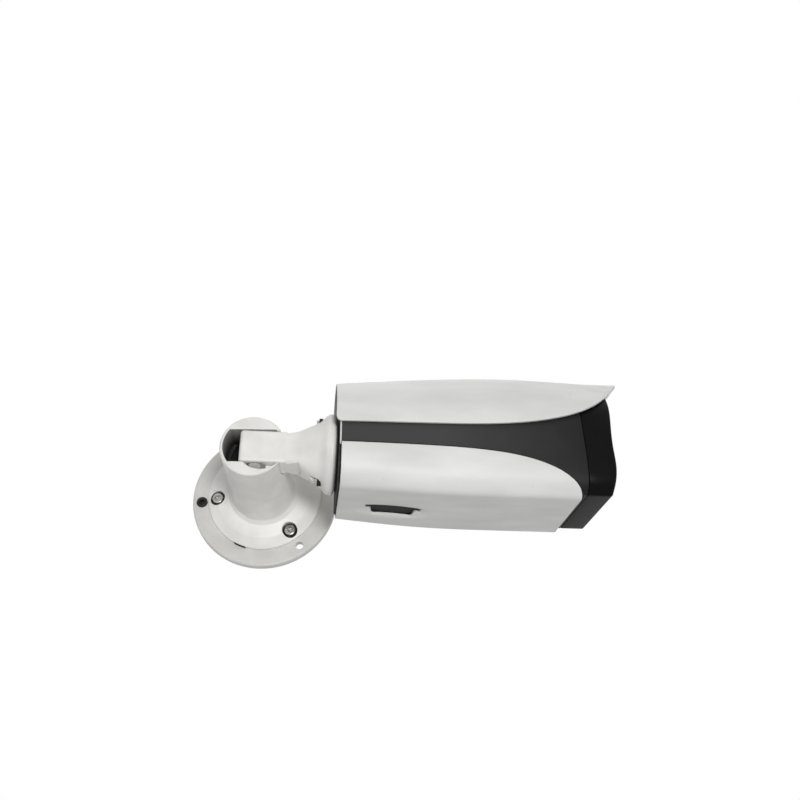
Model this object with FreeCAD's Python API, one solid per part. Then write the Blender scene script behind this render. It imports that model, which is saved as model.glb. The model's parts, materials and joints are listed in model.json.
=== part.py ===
import FreeCAD, Part
import math
import os

# Bullet security camera on a three-axis wall bracket, in millimetres.
# The wall is the plane y = 0 and the bracket stands out of it along -Y. +Z is up.
# The origin is the centre of the wall plate's back face.
# Bracket pieces are placed by depth, the distance out from the wall.
# Camera and arm pieces are drawn in the arm's own frame and then placed:
# u runs forward along the camera, v is sideways and w is up, from the tilt pivot.

V = FreeCAD.Vector

# Wall plate
PLATE_R = 45.0
PLATE_T = 5.0
PLATE_EDGE = 1.2
CABLE_HOLE_R = 15.0
WALL_HOLE_PCD = 78.4
WALL_HOLE_R = 2.4
WALL_HOLE_COUNT = 3
WALL_HOLE_ANGLE = 186.0
GROMMET_HEAD_R = 3.4
GROMMET_BORE_R = 2.0
NOTCH_W = 8.0
NOTCH_H = 2.0
NOTCH_ANGLE = 247.0

# Base cap
CAP_R = 34.8
CAP_RIM_H = 2.0
CAP_SHOULDER_R = 21.5
CAP_SHOULDER_D = 12.2
CAP_WALL = 2.6
COLLAR_D = 18.8
COLLAR_WALL = 2.8
CAP_SCREW_PCD = 57.8
CAP_SCREW_ANGLE = 186.0
CAP_SCREW_COUNT = 3
CAP_PAD_T = 2.4
COUNTERBORE_R = 4.6

# Screws
M4_R = 2.0
M4_HEAD_R = 3.8
M4_HEAD_H = 2.6
M4_SOCKET_R = 1.5
M3_R = 1.5
M3_HEAD_R = 2.7
M3_HEAD_H = 1.5
COVER_SEAT_DEPTH = 1.3
M25_R = 1.25
M25_HEAD_R = 2.2
M25_HEAD_H = 1.6

# Post
POST_END_D = 79.4
POST_END_R = 17.9
POST_FOOT_R = 19.3
POST_WAIST_D = 35.0
POST_BORE_R = 11.0
POST_HOLLOW_R = 14.2
POST_HOLLOW_D = 38.0
NECK_R = 16.2
SHOULDER_GAP = 0.3
RETAINER_R = 21.5
RETAINER_T = 2.6
RETAINER_SCREW_PCD = 27.6
RETAINER_SCREW_ANGLE = 30.0
WASHER_T = 0.8
SLOT_WALL = 1.8

# Tilt joint
PIVOT_X = 1.5
PIVOT_SETBACK = 8.0
YAW = 4.2
TONGUE_HALF_W = 8.1
TONGUE_HALF_H = 9.5
HEEL_L = 9.0
HEEL_ROUND = 2.5
EAR_GAP = 0.25
HEEL_GAP = 0.6
PIVOT_R = 2.5
BUSH_WALL = 1.6
NUT_PLATE_R = 6.5
NUT_PLATE_T = 3.6
RELIEF_R = 12.5
RELIEF_X = 3.6
RELIEF_DROP = 4.4
RELIEF_DEPTH = 5.0
BOLT_HEAD_R = 4.3
BOLT_HEAD_H = 3.0
BOLT_SEAT_W = 13.4

# Arm and bell: half width, half height and squareness of the neck at stations along u
NECK_STATIONS = (
    (15.0, 8.05, 9.45, 7.0),
    (18.0, 8.1, 9.6, 6.5),
    (21.5, 8.9, 10.2, 6.0),
    (25.0, 10.8, 11.6, 4.0),
    (30.0, 14.4, 14.7, 2.5),
    (34.0, 17.5, 17.5, 2.0),
    (36.5, 19.4, 19.4, 2.0),
    (39.1, 22.0, 22.0, 2.0),
    (41.2, 22.9, 22.9, 2.0),
    (42.8, 23.1, 23.1, 2.0))
TONGUE_END = 17.0
TONGUE_ROUND = 1.4
SWING_R = 25.5
BELL_FRONT = 44.7
BELL_DOME_R = 76.0
RING_SEAT = 39.5
ROLL_RING_R = 19.8
ARM_CHANNEL = 5.6
LEAD_WINDOW = (8.5, 16.0)
ARM_SCREW_R = 17.2
ARM_SCREW_ANGLES = (8.0, 112.0, 264.0)
ARM_SCREW_WALL = 3.0
STUB_R = 11.0
STUB_BORE_R = 7.2
ROLL_NUT_R = 12.9
ROLL_NUT_T = 2.8

# Camera body form: crown height, shoulder drop, floor height and floor half width at stations along u
SIDE_HALF = 34.6
FORM_STATIONS = (
    (43.0, 42.6, 0.0, -29.2, 23.3),
    (95.0, 48.3, 0.0, -32.1, 26.6),
    (140.0, 51.3, 0.0, -32.5, 26.9),
    (182.0, 52.0, 1.5, -32.4, 26.6),
    (219.0, 54.6, 7.0, -32.3, 26.4))
CROWN, DROP, FLOOR, FLOOR_HALF = 1, 2, 3, 4
COVER_T = 2.4
COVER_GAP = 0.3
HOUSING_T = 2.6
SHUT_GAP = 0.1
TOP_REAR = 44.3
REAR_FACE = 45.2
REAR_CAP_T = 1.0
CAP_CORE_T = 2.0
BAND_T = 1.1
LOWER_REAR = 47.2
SEAM = 179.6
SEAM_GAP = 0.2
BODY_FRONT = 195.6
FRONT_RAKE = 0.045
STRIPE_TOP = (
    (47.0, 4.7), (96.0, 5.9), (136.0, 8.0), (162.0, 12.3), (180.0, 18.5), (192.3, 26.6), (202.0, 37.2),
    (215.0, 54.2))
STRIPE_LOW = (
    (47.2, -8.1), (100.0, -8.4), (130.0, -10.2), (150.0, -14.0), (163.0, -19.2), (171.5, -25.2),
    (175.2, -30.0), (176.2, -34.0))

# Scoop on the underside
SCOOP_U = 77.0
SCOOP_V = 4.0
SCOOP_HALF_L = 22.0
SCOOP_DEPTH = 1.7
SCOOP_SPIN_R = 29.0
SLOT_LONG = 30.0
SLOT_SHORT = 20.0
SLOT_W = 9.0

# Front end
LIP_T = 2.6
GASKET_T = 0.8
WINDOW_T = 2.2
FRAME_T = 2.6
BOARD_T = 1.6
FLANGE_T = 3.2
WINDOW_LAND = 4.4
LENS_W = 3.0

# Lens
BARREL_R = 16.0
BARREL_REAR = 122.0
BARREL_FRONT = 172.0
BARREL_BACK_T = 3.0
HOOD_R = 21.0
HOOD_ROOT = 6.0
HOOD_FRONT = 183.0
BARREL_WALL = 3.0
LEDGE = 1.5
LEDGE_T = 1.6
FIT = 0.05
CELL_WALL = 3.0
CELL_L = 14.0
FOCUS_CLEAR = 2.0
ZOOM_RING_T = 2.0
ZOOM_RING_U = (146.0, 156.0)
KNURL_COUNT = 18
KNURL_R = 0.9
FILTER_TRAVEL = 9.0
SENSOR_HALF = 16.0
MOUNT_T = 7.0
SADDLE_W = 6.0
SADDLE_HALF = 12.0

# Chassis and boards
CHASSIS_REAR = 56.0
CHASSIS_FRONT = 168.0
CHASSIS_HALF = 20.0
CHASSIS_T = 1.5
CHASSIS_LIFT = 5.0
STANDOFF_R = 2.5
STANDOFF_H = 5.0
BOARD_MARGIN = 3.0
MAIN_BOARD_HALF = 17.0
SINK_L = 22.0
SINK_HALF = 10.0
SINK_H = 9.0
SINK_FINS = 6
JACK_L = 13.0
JACK_H = 8.0
LED_SIZE = 3.5

HOUSING_INSET = COVER_T + COVER_GAP
INNER_INSET = HOUSING_INSET + HOUSING_T
FIT_INSET = INNER_INSET + 0.3
FLOOR_W = FORM_STATIONS[3][FLOOR] + INNER_INSET
PIVOT_D = POST_END_D - PIVOT_SETBACK
CELL_U = BARREL_REAR + BARREL_BACK_T + FOCUS_CLEAR
SENSOR_BACK = BARREL_REAR - MOUNT_T - BOARD_T
CAP_FRONT = REAR_FACE + REAR_CAP_T
CAP_INNER = CAP_FRONT + CAP_CORE_T
HOUSING_REAR = CAP_FRONT + BAND_T + 2 * SHUT_GAP


# Small helpers

def rod(radius, depth_a, depth_b, x=0.0, z=0.0):
    """A cylinder standing out of the wall, from one depth to another."""
    return Part.makeCylinder(radius, depth_b - depth_a, V(x, -depth_a, z), V(0, -1, 0))


def tube(outer, inner, depth_a, depth_b):
    return rod(outer, depth_a, depth_b).cut(rod(inner, depth_a - 1, depth_b + 1))


def bar_u(radius, u_a, u_b, v=0.0, w=0.0):
    """A cylinder along the camera's own axis."""
    return Part.makeCylinder(radius, u_b - u_a, V(u_a, v, w), V(1, 0, 0))


def tube_u(outer, inner, u_a, u_b, v=0.0, w=0.0):
    return bar_u(outer, u_a, u_b, v, w).cut(bar_u(inner, u_a - 1, u_b + 1, v, w))


def pin_w(radius, w_a, w_b, u=0.0, v=0.0):
    """An upright cylinder in the arm's frame."""
    return Part.makeCylinder(radius, w_b - w_a, V(u, v, w_a))


def block(u, v, w):
    """A box between the two ends given for each direction."""
    return Part.makeBox(u[1] - u[0], v[1] - v[0], w[1] - w[0], V(u[0], v[0], w[0]))


def polygon(points):
    return Part.Face(Part.makePolygon([*points, points[0]]))


def on_circle(pcd, start_deg, count):
    """Centres (x, z) of a ring of holes."""
    step = 360.0 / count
    angles = [math.radians(start_deg + step * k) for k in range(count)]
    return [(pcd / 2 * math.cos(a), pcd / 2 * math.sin(a)) for a in angles]


def turned_from_wall(points):
    """Revolve a closed (depth, radius) outline about the wall's normal."""
    face = polygon([V(r, -d, 0) for d, r in points])
    return face.revolve(V(0, 0, 0), V(0, 1, 0), 360)


def turned_on_axis(edges, w=0.0):
    """Revolve a closed outline drawn in the u-w plane about the camera's axis."""
    return Part.Face(Part.Wire(edges)).revolve(V(0, 0, w), V(1, 0, 0), 360)


def socket_screw(radius, length, head_r, head_h, socket_r):
    """A socket-head screw along +Z: its shank below z = 0 and its head above."""
    head = Part.makeCylinder(head_r, head_h)
    screw = head.fuse(Part.makeCylinder(radius, length, V(0, 0, -length)))
    corners = [V(socket_r * math.cos(a), socket_r * math.sin(a), head_h * 0.4)
               for a in (k * math.pi / 3 for k in range(6))]
    return screw.cut(polygon(corners).extrude(V(0, 0, head_h)))


def turn_to(shape, direction, place):
    """Point a +Z shape along a direction and move it to its place."""
    turned = shape.copy()
    turned.Placement = FreeCAD.Placement(place, FreeCAD.Rotation(V(0, 0, 1), direction))
    return turned


def set_on_pivot(shape):
    """Place a shape drawn in the arm's frame at the tilt pivot."""
    pivot = FreeCAD.Placement(V(PIVOT_X, -PIVOT_D, 0), FreeCAD.Rotation(V(0, 0, 1), YAW))
    placed = shape.copy()
    placed.Placement = pivot.multiply(shape.Placement)
    return placed


def save(name, shape):
    if not shape.isValid():
        print("not valid:", name)
    print(name, len(shape.Solids), round(shape.Volume / 1000.0, 3), "cm3")
    shape.exportStep("parts/" + name + ".step")


# Wall plate, base cap and their screws

def wall_plate():
    plate = rod(PLATE_R, 0, PLATE_T).cut(rod(CABLE_HOLE_R, -1, PLATE_T + 1))
    front_edge = [e for e in plate.Edges
                  if abs(e.BoundBox.YMax + PLATE_T) < 0.01 and e.BoundBox.XLength > 2 * PLATE_R - 1]
    plate = plate.makeFillet(PLATE_EDGE, front_edge)
    for x, z in on_circle(WALL_HOLE_PCD, WALL_HOLE_ANGLE, WALL_HOLE_COUNT):
        plate = plate.cut(rod(WALL_HOLE_R, -1, PLATE_T + 1, x, z))
    for x, z in on_circle(CAP_SCREW_PCD, CAP_SCREW_ANGLE, CAP_SCREW_COUNT):
        plate = plate.cut(rod(M4_R + FIT, 1.0, PLATE_T + 1, x, z))
    return plate


def cap_outline(inset):
    """Half outline (depth, radius) of the domed cap and its collar."""
    rim_d = PLATE_T + CAP_RIM_H
    mid_r = CAP_SCREW_PCD / 2
    mid_d = rim_d + 0.62 * (CAP_SHOULDER_D - rim_d)
    return [(PLATE_T, 0), (PLATE_T, CAP_R - inset), (rim_d - inset * 0.4, CAP_R - inset),
            (mid_d - inset, mid_r - inset * 0.3), (CAP_SHOULDER_D - inset, CAP_SHOULDER_R)]


def base_cap():
    collar_r = NECK_R + COLLAR_WALL
    collar = [(COLLAR_D - 4, collar_r + 0.6), (COLLAR_D, collar_r), (COLLAR_D, 0)]
    skin = turned_from_wall([*cap_outline(0), *collar])
    hollow_top = CAP_SHOULDER_D - CAP_WALL
    hollow = turned_from_wall([*cap_outline(CAP_WALL), (hollow_top, 0)])
    cap = skin.cut(hollow)
    for x, z in on_circle(CAP_SCREW_PCD, CAP_SCREW_ANGLE, CAP_SCREW_COUNT):
        pad = rod(COUNTERBORE_R + 1.4, PLATE_T, COLLAR_D, x, z).common(skin)
        cap = cap.fuse(pad)
    for x, z in on_circle(CAP_SCREW_PCD, CAP_SCREW_ANGLE, CAP_SCREW_COUNT):
        cap = cap.cut(rod(COUNTERBORE_R, PLATE_T + CAP_PAD_T, COLLAR_D, x, z))
        cap = cap.cut(rod(M4_R + 0.2, PLATE_T - 1, COLLAR_D, x, z))
    cap = cap.cut(rod(NECK_R + FIT, PLATE_T, COLLAR_D + 1))
    depth = (-PLATE_T - NOTCH_H, -PLATE_T + 1)
    notch = block((-NOTCH_W / 2, NOTCH_W / 2), depth, (-CAP_R - 1, -CAP_R + CAP_WALL + 1))
    notch.rotate(V(0, 0, 0), V(0, 1, 0), -(NOTCH_ANGLE - 270.0))
    cap = cap.cut(notch)
    return cap.removeSplitter()


def base_screws():
    one = socket_screw(M4_R, CAP_PAD_T + PLATE_T - 1.4, M4_HEAD_R, M4_HEAD_H, M4_SOCKET_R)
    seat = -(PLATE_T + CAP_PAD_T)
    places = on_circle(CAP_SCREW_PCD, CAP_SCREW_ANGLE, CAP_SCREW_COUNT)
    return Part.makeCompound([turn_to(one, V(0, -1, 0), V(x, seat, z)) for x, z in places])


def hole_grommet():
    """The dark rubber grommet left in the wall hole on the left."""
    x, z = on_circle(WALL_HOLE_PCD, WALL_HOLE_ANGLE, WALL_HOLE_COUNT)[0]
    head = rod(GROMMET_HEAD_R, PLATE_T, PLATE_T + 0.9, x, z)
    stem = rod(WALL_HOLE_R - 0.1, PLATE_T - 2.4, PLATE_T + 0.1, x, z)
    return head.fuse(stem).cut(rod(GROMMET_BORE_R, 0, PLATE_T + 2, x, z))


# Post, its retainer and the tilt pivot

def retainer_top():
    return CAP_SHOULDER_D - CAP_WALL - WASHER_T


def slot_floor():
    """Depth of the slot's floor, just behind the sweep of the tongue's heel corners."""
    sweep = math.hypot(HEEL_L - HEEL_ROUND, TONGUE_HALF_W - HEEL_ROUND) + HEEL_ROUND
    return PIVOT_D - sweep - HEEL_GAP


def ear_slot(gap):
    """The slot between the ears, closed by a thin wall on its left side."""
    half = TONGUE_HALF_H + gap
    floor_d = slot_floor()
    slot = block((-30, 30), (-POST_END_D - 1, -floor_d), (-half, half))
    right = block((0, 30), (-POST_END_D - 1, -floor_d), (-half, half))
    left = rod(POST_END_R - SLOT_WALL, floor_d, POST_END_D + 1)
    return slot.common(left).fuse(right)


def post():
    foot_d = COLLAR_D + SHOULDER_GAP
    outline = [(retainer_top(), 0), (retainer_top(), NECK_R), (foot_d, NECK_R), (foot_d, POST_FOOT_R),
               (foot_d + 4, POST_FOOT_R - 0.6), (POST_WAIST_D, POST_END_R + 0.3), (POST_END_D, POST_END_R),
               (POST_END_D, 0)]
    body = turned_from_wall(outline)
    end_edge = [e for e in body.Edges
                if abs(e.BoundBox.YMin + POST_END_D) < 0.01 and e.BoundBox.YLength < 0.01
                and e.BoundBox.XLength > 2]
    body = body.makeChamfer(0.7, end_edge)
    body = body.cut(rod(POST_BORE_R, retainer_top() - 1, slot_floor() + 1))
    body = body.cut(rod(POST_HOLLOW_R, POST_HOLLOW_D, slot_floor() + 1))
    body = body.cut(ear_slot(EAR_GAP))
    body = body.cut(post_pivot_holes())
    body = body.cut(ear_relief())
    for x, z in retainer_screw_places():
        body = body.cut(rod(M25_R, retainer_top() - 1, retainer_top() + 5, x, z))
    return body


def post_pivot_holes():
    """Bolt hole and head recess in the upper ear, nut recess and blind hole in the lower."""
    place = V(PIVOT_X, -PIVOT_D, 0)
    half = TONGUE_HALF_H + EAR_GAP
    holes = pin_w(PIVOT_R + 0.1, half - 2, BOLT_SEAT_W + 1)
    holes = holes.fuse(pin_w(BOLT_HEAD_R + 0.3, BOLT_SEAT_W, POST_END_R + 5))
    holes = holes.fuse(pin_w(NUT_PLATE_R + 0.3, -half - NUT_PLATE_T - 0.3, -half + 0.5))
    holes = holes.fuse(pin_w(PIVOT_R + 0.1, -half - NUT_PLATE_T - 1.5, -half))
    return holes.translated(place)


def ear_relief():
    """Arc-shaped relief in the lower ear's end, beside the nut."""
    half = TONGUE_HALF_H + EAR_GAP
    centre_z = RELIEF_R - half - RELIEF_DROP
    relief = rod(RELIEF_R, POST_END_D - RELIEF_DEPTH, POST_END_D + 1, PIVOT_X + RELIEF_X, centre_z)
    below = block((-30, 30), (-POST_END_D - 2, -POST_END_D + RELIEF_DEPTH + 1), (-30, -half + 0.5))
    return relief.common(below)


def retainer_screw_places():
    return on_circle(RETAINER_SCREW_PCD, RETAINER_SCREW_ANGLE, 3)


def post_retainer():
    top = retainer_top()
    ring = tube(RETAINER_R, POST_BORE_R, top - RETAINER_T, top)
    for x, z in retainer_screw_places():
        ring = ring.cut(rod(M25_R + 0.15, top - RETAINER_T - 1, top + 1, x, z))
        ring = ring.cut(rod(M25_HEAD_R + 0.1, top - RETAINER_T - 1, top - RETAINER_T + M25_HEAD_H, x, z))
    return ring


def retainer_screws():
    one = socket_screw(M25_R, 4.5, M25_HEAD_R, M25_HEAD_H, 0.9)
    seat = -(retainer_top() - RETAINER_T + M25_HEAD_H)
    return Part.makeCompound([turn_to(one, V(0, 1, 0), V(x, seat, z)) for x, z in retainer_screw_places()])


def pan_washer():
    return tube(RETAINER_R - 0.4, NECK_R + 0.5, retainer_top(), retainer_top() + WASHER_T)


def pivot_bolt():
    half = TONGUE_HALF_H + EAR_GAP
    length = BOLT_SEAT_W + half + NUT_PLATE_T + 0.6
    bolt = socket_screw(PIVOT_R, length, BOLT_HEAD_R, BOLT_HEAD_H, 2.0)
    return bolt.translated(V(PIVOT_X, -PIVOT_D, BOLT_SEAT_W))


def pivot_nut():
    half = TONGUE_HALF_H + EAR_GAP
    disc = pin_w(NUT_PLATE_R, -half - NUT_PLATE_T - 0.2, -half - 0.2)
    disc = disc.cut(pin_w(PIVOT_R, -half - NUT_PLATE_T - 1, -half + 1))
    return disc.translated(V(PIVOT_X, -PIVOT_D, 0))


# Arm: a tongue that flares into a domed bell

def rounded_section(u, half_v, half_w, squareness):
    """A closed section between a rounded rectangle and a circle."""
    points = []
    for k in range(32):
        a = 2 * math.pi * k / 32
        across = abs(math.cos(a) / half_v) ** squareness
        upward = abs(math.sin(a) / half_w) ** squareness
        reach = (across + upward) ** (-1 / squareness)
        points.append(V(u, reach * math.cos(a), reach * math.sin(a)))
    curve = Part.BSplineCurve()
    curve.interpolate(points, PeriodicFlag=True)
    return Part.Wire([curve.toShape()])


def dome(grow=0.0):
    """The ball whose front makes the bell's slightly domed face."""
    return Part.makeSphere(BELL_DOME_R + grow, V(BELL_FRONT - BELL_DOME_R, 0, 0))


def tongue():
    bar = block((-HEEL_L, TONGUE_END), (-TONGUE_HALF_W, TONGUE_HALF_W), (-TONGUE_HALF_H, TONGUE_HALF_H))
    heel = [e for e in bar.Edges if e.BoundBox.ZLength > 5 and e.BoundBox.XMax < 0]
    bar = bar.makeFillet(HEEL_ROUND, heel)
    long_edges = [e for e in bar.Edges if e.BoundBox.ZLength < 0.01 and e.BoundBox.XLength > HEEL_L]
    return bar.makeFillet(TONGUE_ROUND, long_edges)


def bell_cavity():
    """Room in the bell for the ring, the nut behind it and the lead."""
    nut_back = RING_SEAT - ROLL_NUT_T
    cavity = bar_u(ROLL_RING_R + 0.1, RING_SEAT, BELL_FRONT + 1)
    cavity = cavity.fuse(bar_u(ROLL_NUT_R + 0.4, nut_back - 0.8, RING_SEAT + 1))
    throat = Part.makeCone(ARM_CHANNEL, STUB_BORE_R + 2, 9.0, V(nut_back - 9.5, 0, 0), V(1, 0, 0))
    channel = bar_u(ARM_CHANNEL, LEAD_WINDOW[0], nut_back - 5)
    window = block(LEAD_WINDOW, (0, TONGUE_HALF_W + 1), (-ARM_CHANNEL, ARM_CHANNEL))
    return cavity.fuse(throat).fuse(channel).fuse(window)


def arm():
    neck = Part.makeLoft([rounded_section(*station) for station in NECK_STATIONS], True)
    below = pin_w(SWING_R, -30, -TONGUE_HALF_H)
    body = tongue().fuse(neck.common(dome()).cut(below))
    body = body.cut(bell_cavity())
    body = body.cut(pin_w(PIVOT_R + BUSH_WALL, -TONGUE_HALF_H - 1, TONGUE_HALF_H + 1))
    for v, w in arm_screw_places():
        body = body.cut(bar_u(M25_R + 0.15, RING_SEAT - 8, RING_SEAT + 1, v, w))
        body = body.cut(bar_u(M25_HEAD_R + 0.5, RING_SEAT - 14, RING_SEAT - ARM_SCREW_WALL, v, w))
    return body


def arm_screw_places():
    """Screw centres (v, w), set so that none lies on the outer side."""
    turns = [math.radians(angle) for angle in ARM_SCREW_ANGLES]
    return [(ARM_SCREW_R * math.cos(a), ARM_SCREW_R * math.sin(a)) for a in turns]


def pivot_bush():
    bush = pin_w(PIVOT_R + BUSH_WALL, -TONGUE_HALF_H, TONGUE_HALF_H)
    return bush.cut(pin_w(PIVOT_R + FIT, -TONGUE_HALF_H - 1, TONGUE_HALF_H + 1))


def roll_ring():
    """Domed ring let into the bell's face, which the camera's stub turns in."""
    ring = tube_u(ROLL_RING_R, STUB_R + FIT, RING_SEAT, BELL_FRONT + 1).common(dome())
    for v, w in arm_screw_places():
        ring = ring.cut(bar_u(M25_R, RING_SEAT - 1, RING_SEAT + 2.4, v, w))
    return ring


def arm_screws():
    one = socket_screw(M25_R, ARM_SCREW_WALL + 2.2, M25_HEAD_R, M25_HEAD_H, 1.0)
    seat = RING_SEAT - ARM_SCREW_WALL
    return Part.makeCompound([turn_to(one, V(-1, 0, 0), V(seat, v, w)) for v, w in arm_screw_places()])


# Camera body form: one lofted section, drawn in by the inset that each shell needs

def section_points(crown, drop, floor, floor_half):
    """Right half of the outer section, from the bottom corner up to the crown."""
    side = [(floor_half, floor), (SIDE_HALF - 2.2, floor + 6.4), (SIDE_HALF, floor + 16.4),
            (SIDE_HALF - 0.6, 4.0), (SIDE_HALF - 3.2, 0.475 * (crown - drop))]
    roof = [(24.0, crown - 13.3 - drop), (16.0, crown - 5.6 - 0.8 * drop), (8.0, crown - 1.4 - 0.35 * drop)]
    return [*side, *roof, (0.0, crown)]


def drawn_in(points, inset):
    """The same half section, moved inward square to itself."""
    corner_turn = math.atan2(points[1][1] - points[0][1], points[1][0] - points[0][0])
    moved = [(points[0][0] - inset * math.tan(corner_turn / 2), points[0][1] + inset)]
    for before, here, after in zip(points, points[1:], points[2:]):
        run = math.hypot(after[0] - before[0], after[1] - before[1])
        side = ((before[1] - after[1]) / run, (after[0] - before[0]) / run)
        moved.append((here[0] + inset * side[0], here[1] + inset * side[1]))
    moved.append((0.0, points[-1][1] - inset))
    return moved


def section_wire(station, inset):
    u = station[0]
    half = drawn_in(section_points(*station[1:]), inset)
    right = [V(u, v, w) for v, w in half]
    left = [V(u, -v, w) for v, w in reversed(half[:-1])]
    shoulder = Part.BSplineCurve()
    shoulder.interpolate([*right, *left])
    floor = Part.LineSegment(left[-1], right[0])
    return Part.Wire([shoulder.toShape(), floor.toShape()])


def form(inset):
    return Part.makeLoft([section_wire(station, inset) for station in FORM_STATIONS], True)


def form_line(column):
    """A curve through one column of the form's stations, with u as its parameter."""
    curve = Part.BSplineCurve()
    points = [V(station[0], 0, station[column]) for station in FORM_STATIONS]
    curve.interpolate(Points=points, Parameters=[point.x for point in points])
    return curve


def form_slice(inset, u_a, u_b):
    return form(inset).common(block((u_a, u_b), (-60, 60), (-60, 90)))


def form_ring(outer_inset, inner_inset, u_a, u_b):
    return form_slice(outer_inset, u_a, u_b).cut(form(inner_inset))


def curve_through(points):
    curve = Part.BSplineCurve()
    curve.interpolate([V(u, 0, w) for u, w in points])
    return curve.toShape()


def side_prism(edges):
    """A side view outline carried right across the body."""
    face = Part.Face(Part.Wire(edges))
    return face.translated(V(0, -60, 0)).extrude(V(0, 120, 0))


def chain(points):
    spots = [V(u, 0, w) for u, w in points]
    return [Part.LineSegment(a, b).toShape() for a, b in zip(spots, spots[1:])]


def top_cover():
    corner = 3.0
    start_u, start_w = STRIPE_TOP[0]
    middle = V(TOP_REAR + 0.8, 0, start_w + 0.9)
    bend = Part.Arc(V(TOP_REAR, 0, start_w + corner), middle, V(start_u, 0, start_w))
    end_u, end_w = STRIPE_TOP[-1]
    frame = chain([(end_u, end_w), (end_u, 90), (TOP_REAR, 90), (TOP_REAR, start_w + corner)])
    keep = side_prism([curve_through(STRIPE_TOP), *frame, bend.toShape()])
    skin = form(0).cut(form(COVER_T)).common(keep)
    return skin.cut(cover_screw_seats())


def lower_cover():
    end_u, end_w = STRIPE_LOW[-1]
    frame = chain([(end_u, end_w), (end_u, -60), (LOWER_REAR, -60), STRIPE_LOW[0]])
    keep = side_prism([curve_through(STRIPE_LOW), *frame])
    skin = form(0).cut(form(COVER_T)).common(keep)
    return skin.cut(on_the_floor(scoop_bowl())).cut(on_the_floor(scoop_slot()))


def on_the_floor(shape):
    """Move a shape drawn at the origin onto the sloping underside, at the scoop."""
    line = form_line(FLOOR)
    along = line.tangent(SCOOP_U)[0]
    turn = FreeCAD.Rotation(V(1, 0, 0), along)
    moved = shape.copy()
    moved.Placement = FreeCAD.Placement(line.value(SCOOP_U) + V(0, SCOOP_V, 0), turn)
    return moved


def scoop_bowl():
    """A shallow spindle-shaped bowl round the slot in the underside."""
    end_r = SCOOP_SPIN_R - SCOOP_DEPTH
    crown = Part.Arc(V(-SCOOP_HALF_L, 0, end_r), V(0, 0, SCOOP_SPIN_R), V(SCOOP_HALF_L, 0, end_r))
    sides = chain([(SCOOP_HALF_L, end_r), (SCOOP_HALF_L, 0), (-SCOOP_HALF_L, 0), (-SCOOP_HALF_L, end_r)])
    spindle = turned_on_axis([crown.toShape(), *sides])
    return Part.makeCompound([spindle.translated(V(0, 0, -end_r))])


def scoop_slot():
    long_half = SLOT_LONG / 2
    short_half = SLOT_SHORT / 2
    near = -SLOT_W * 0.66
    far = near + SLOT_W
    outline = [(-long_half, near), (long_half, near), (short_half + 1.5, near + 2.2), (short_half, far),
               (-short_half, far), (-short_half - 1.5, near + 2.2)]
    face = polygon([V(u, v, -1) for u, v in outline])
    return face.extrude(V(0, 0, COVER_T + 1.5))


def cover_screw_places():
    """Crown height at the two screws that hold the top cover."""
    line = form_line(CROWN)
    return [(u, line.value(u).z) for u in (70.0, 162.0)]


def cover_screw_seats():
    seats = []
    for u, w in cover_screw_places():
        seats.append(pin_w(M3_R + 0.2, w - 8, w + 3, u))
        seats.append(pin_w(M3_HEAD_R + 0.3, w - COVER_SEAT_DEPTH, w + 3, u))
    return Part.makeCompound(seats)


def cover_screws():
    one = socket_screw(M3_R, 5.5, M3_HEAD_R, M3_HEAD_H, 1.1)
    return Part.makeCompound([one.translated(V(u, 0, w - COVER_SEAT_DEPTH)) for u, w in cover_screw_places()])


def main_housing():
    front = SEAM - SEAM_GAP
    shell = form_ring(HOUSING_INSET, INNER_INSET, HOUSING_REAR, front)
    flange = form_ring(INNER_INSET - 0.5, INNER_INSET + WINDOW_LAND, front - FLANGE_T, front)
    shell = shell.fuse(flange)
    for u, w in cover_screw_places():
        boss = pin_w(M3_R + 1.8, w - 10, w - 2, u).common(form(HOUSING_INSET))
        shell = shell.fuse(boss).cut(pin_w(M3_R, w - 8, w + 3, u))
    for u, v in chassis_feet():
        shell = shell.fuse(pin_w(STANDOFF_R, FLOOR_W - 0.5, FLOOR_W + CHASSIS_LIFT, u, v))
    return shell.cut(bezel_screw_holes(M25_R + 0.15)).removeSplitter()


def rear_band():
    """The slim painted ring between the rear cap and the housing."""
    return form_ring(HOUSING_INSET, FIT_INSET, CAP_FRONT + SHUT_GAP, CAP_FRONT + SHUT_GAP + BAND_T)


def rear_cap():
    plate = form_slice(HOUSING_INSET, REAR_FACE, CAP_FRONT)
    spigot = form_slice(FIT_INSET + 0.1, CAP_FRONT - 0.2, HOUSING_REAR + 4.0)
    room = form(FIT_INSET + 2.1).common(block((CAP_INNER, 60), (-60, 60), (-60, 90)))
    plate = plate.fuse(spigot.cut(room))
    stub_back = RING_SEAT - ROLL_NUT_T
    plate = plate.fuse(bar_u(STUB_R, stub_back, CAP_FRONT))
    plate = plate.cut(bar_u(STUB_BORE_R, stub_back - 1, CAP_INNER + 1))
    for v in (-16.0, 16.0):
        plate = plate.fuse(bar_u(STANDOFF_R, CAP_INNER - 0.5, io_board_back(), v, LENS_W))
    return plate


def rear_gasket():
    """Rubber seal round the stub, between the bell's dome and the camera."""
    ring = tube_u(STUB_R + 3.0, STUB_R + 1.0, BELL_FRONT - 3, REAR_FACE)
    return ring.cut(dome(0.3))


def roll_nut():
    return tube_u(ROLL_NUT_R, STUB_R + FIT, RING_SEAT - ROLL_NUT_T, RING_SEAT)


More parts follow.
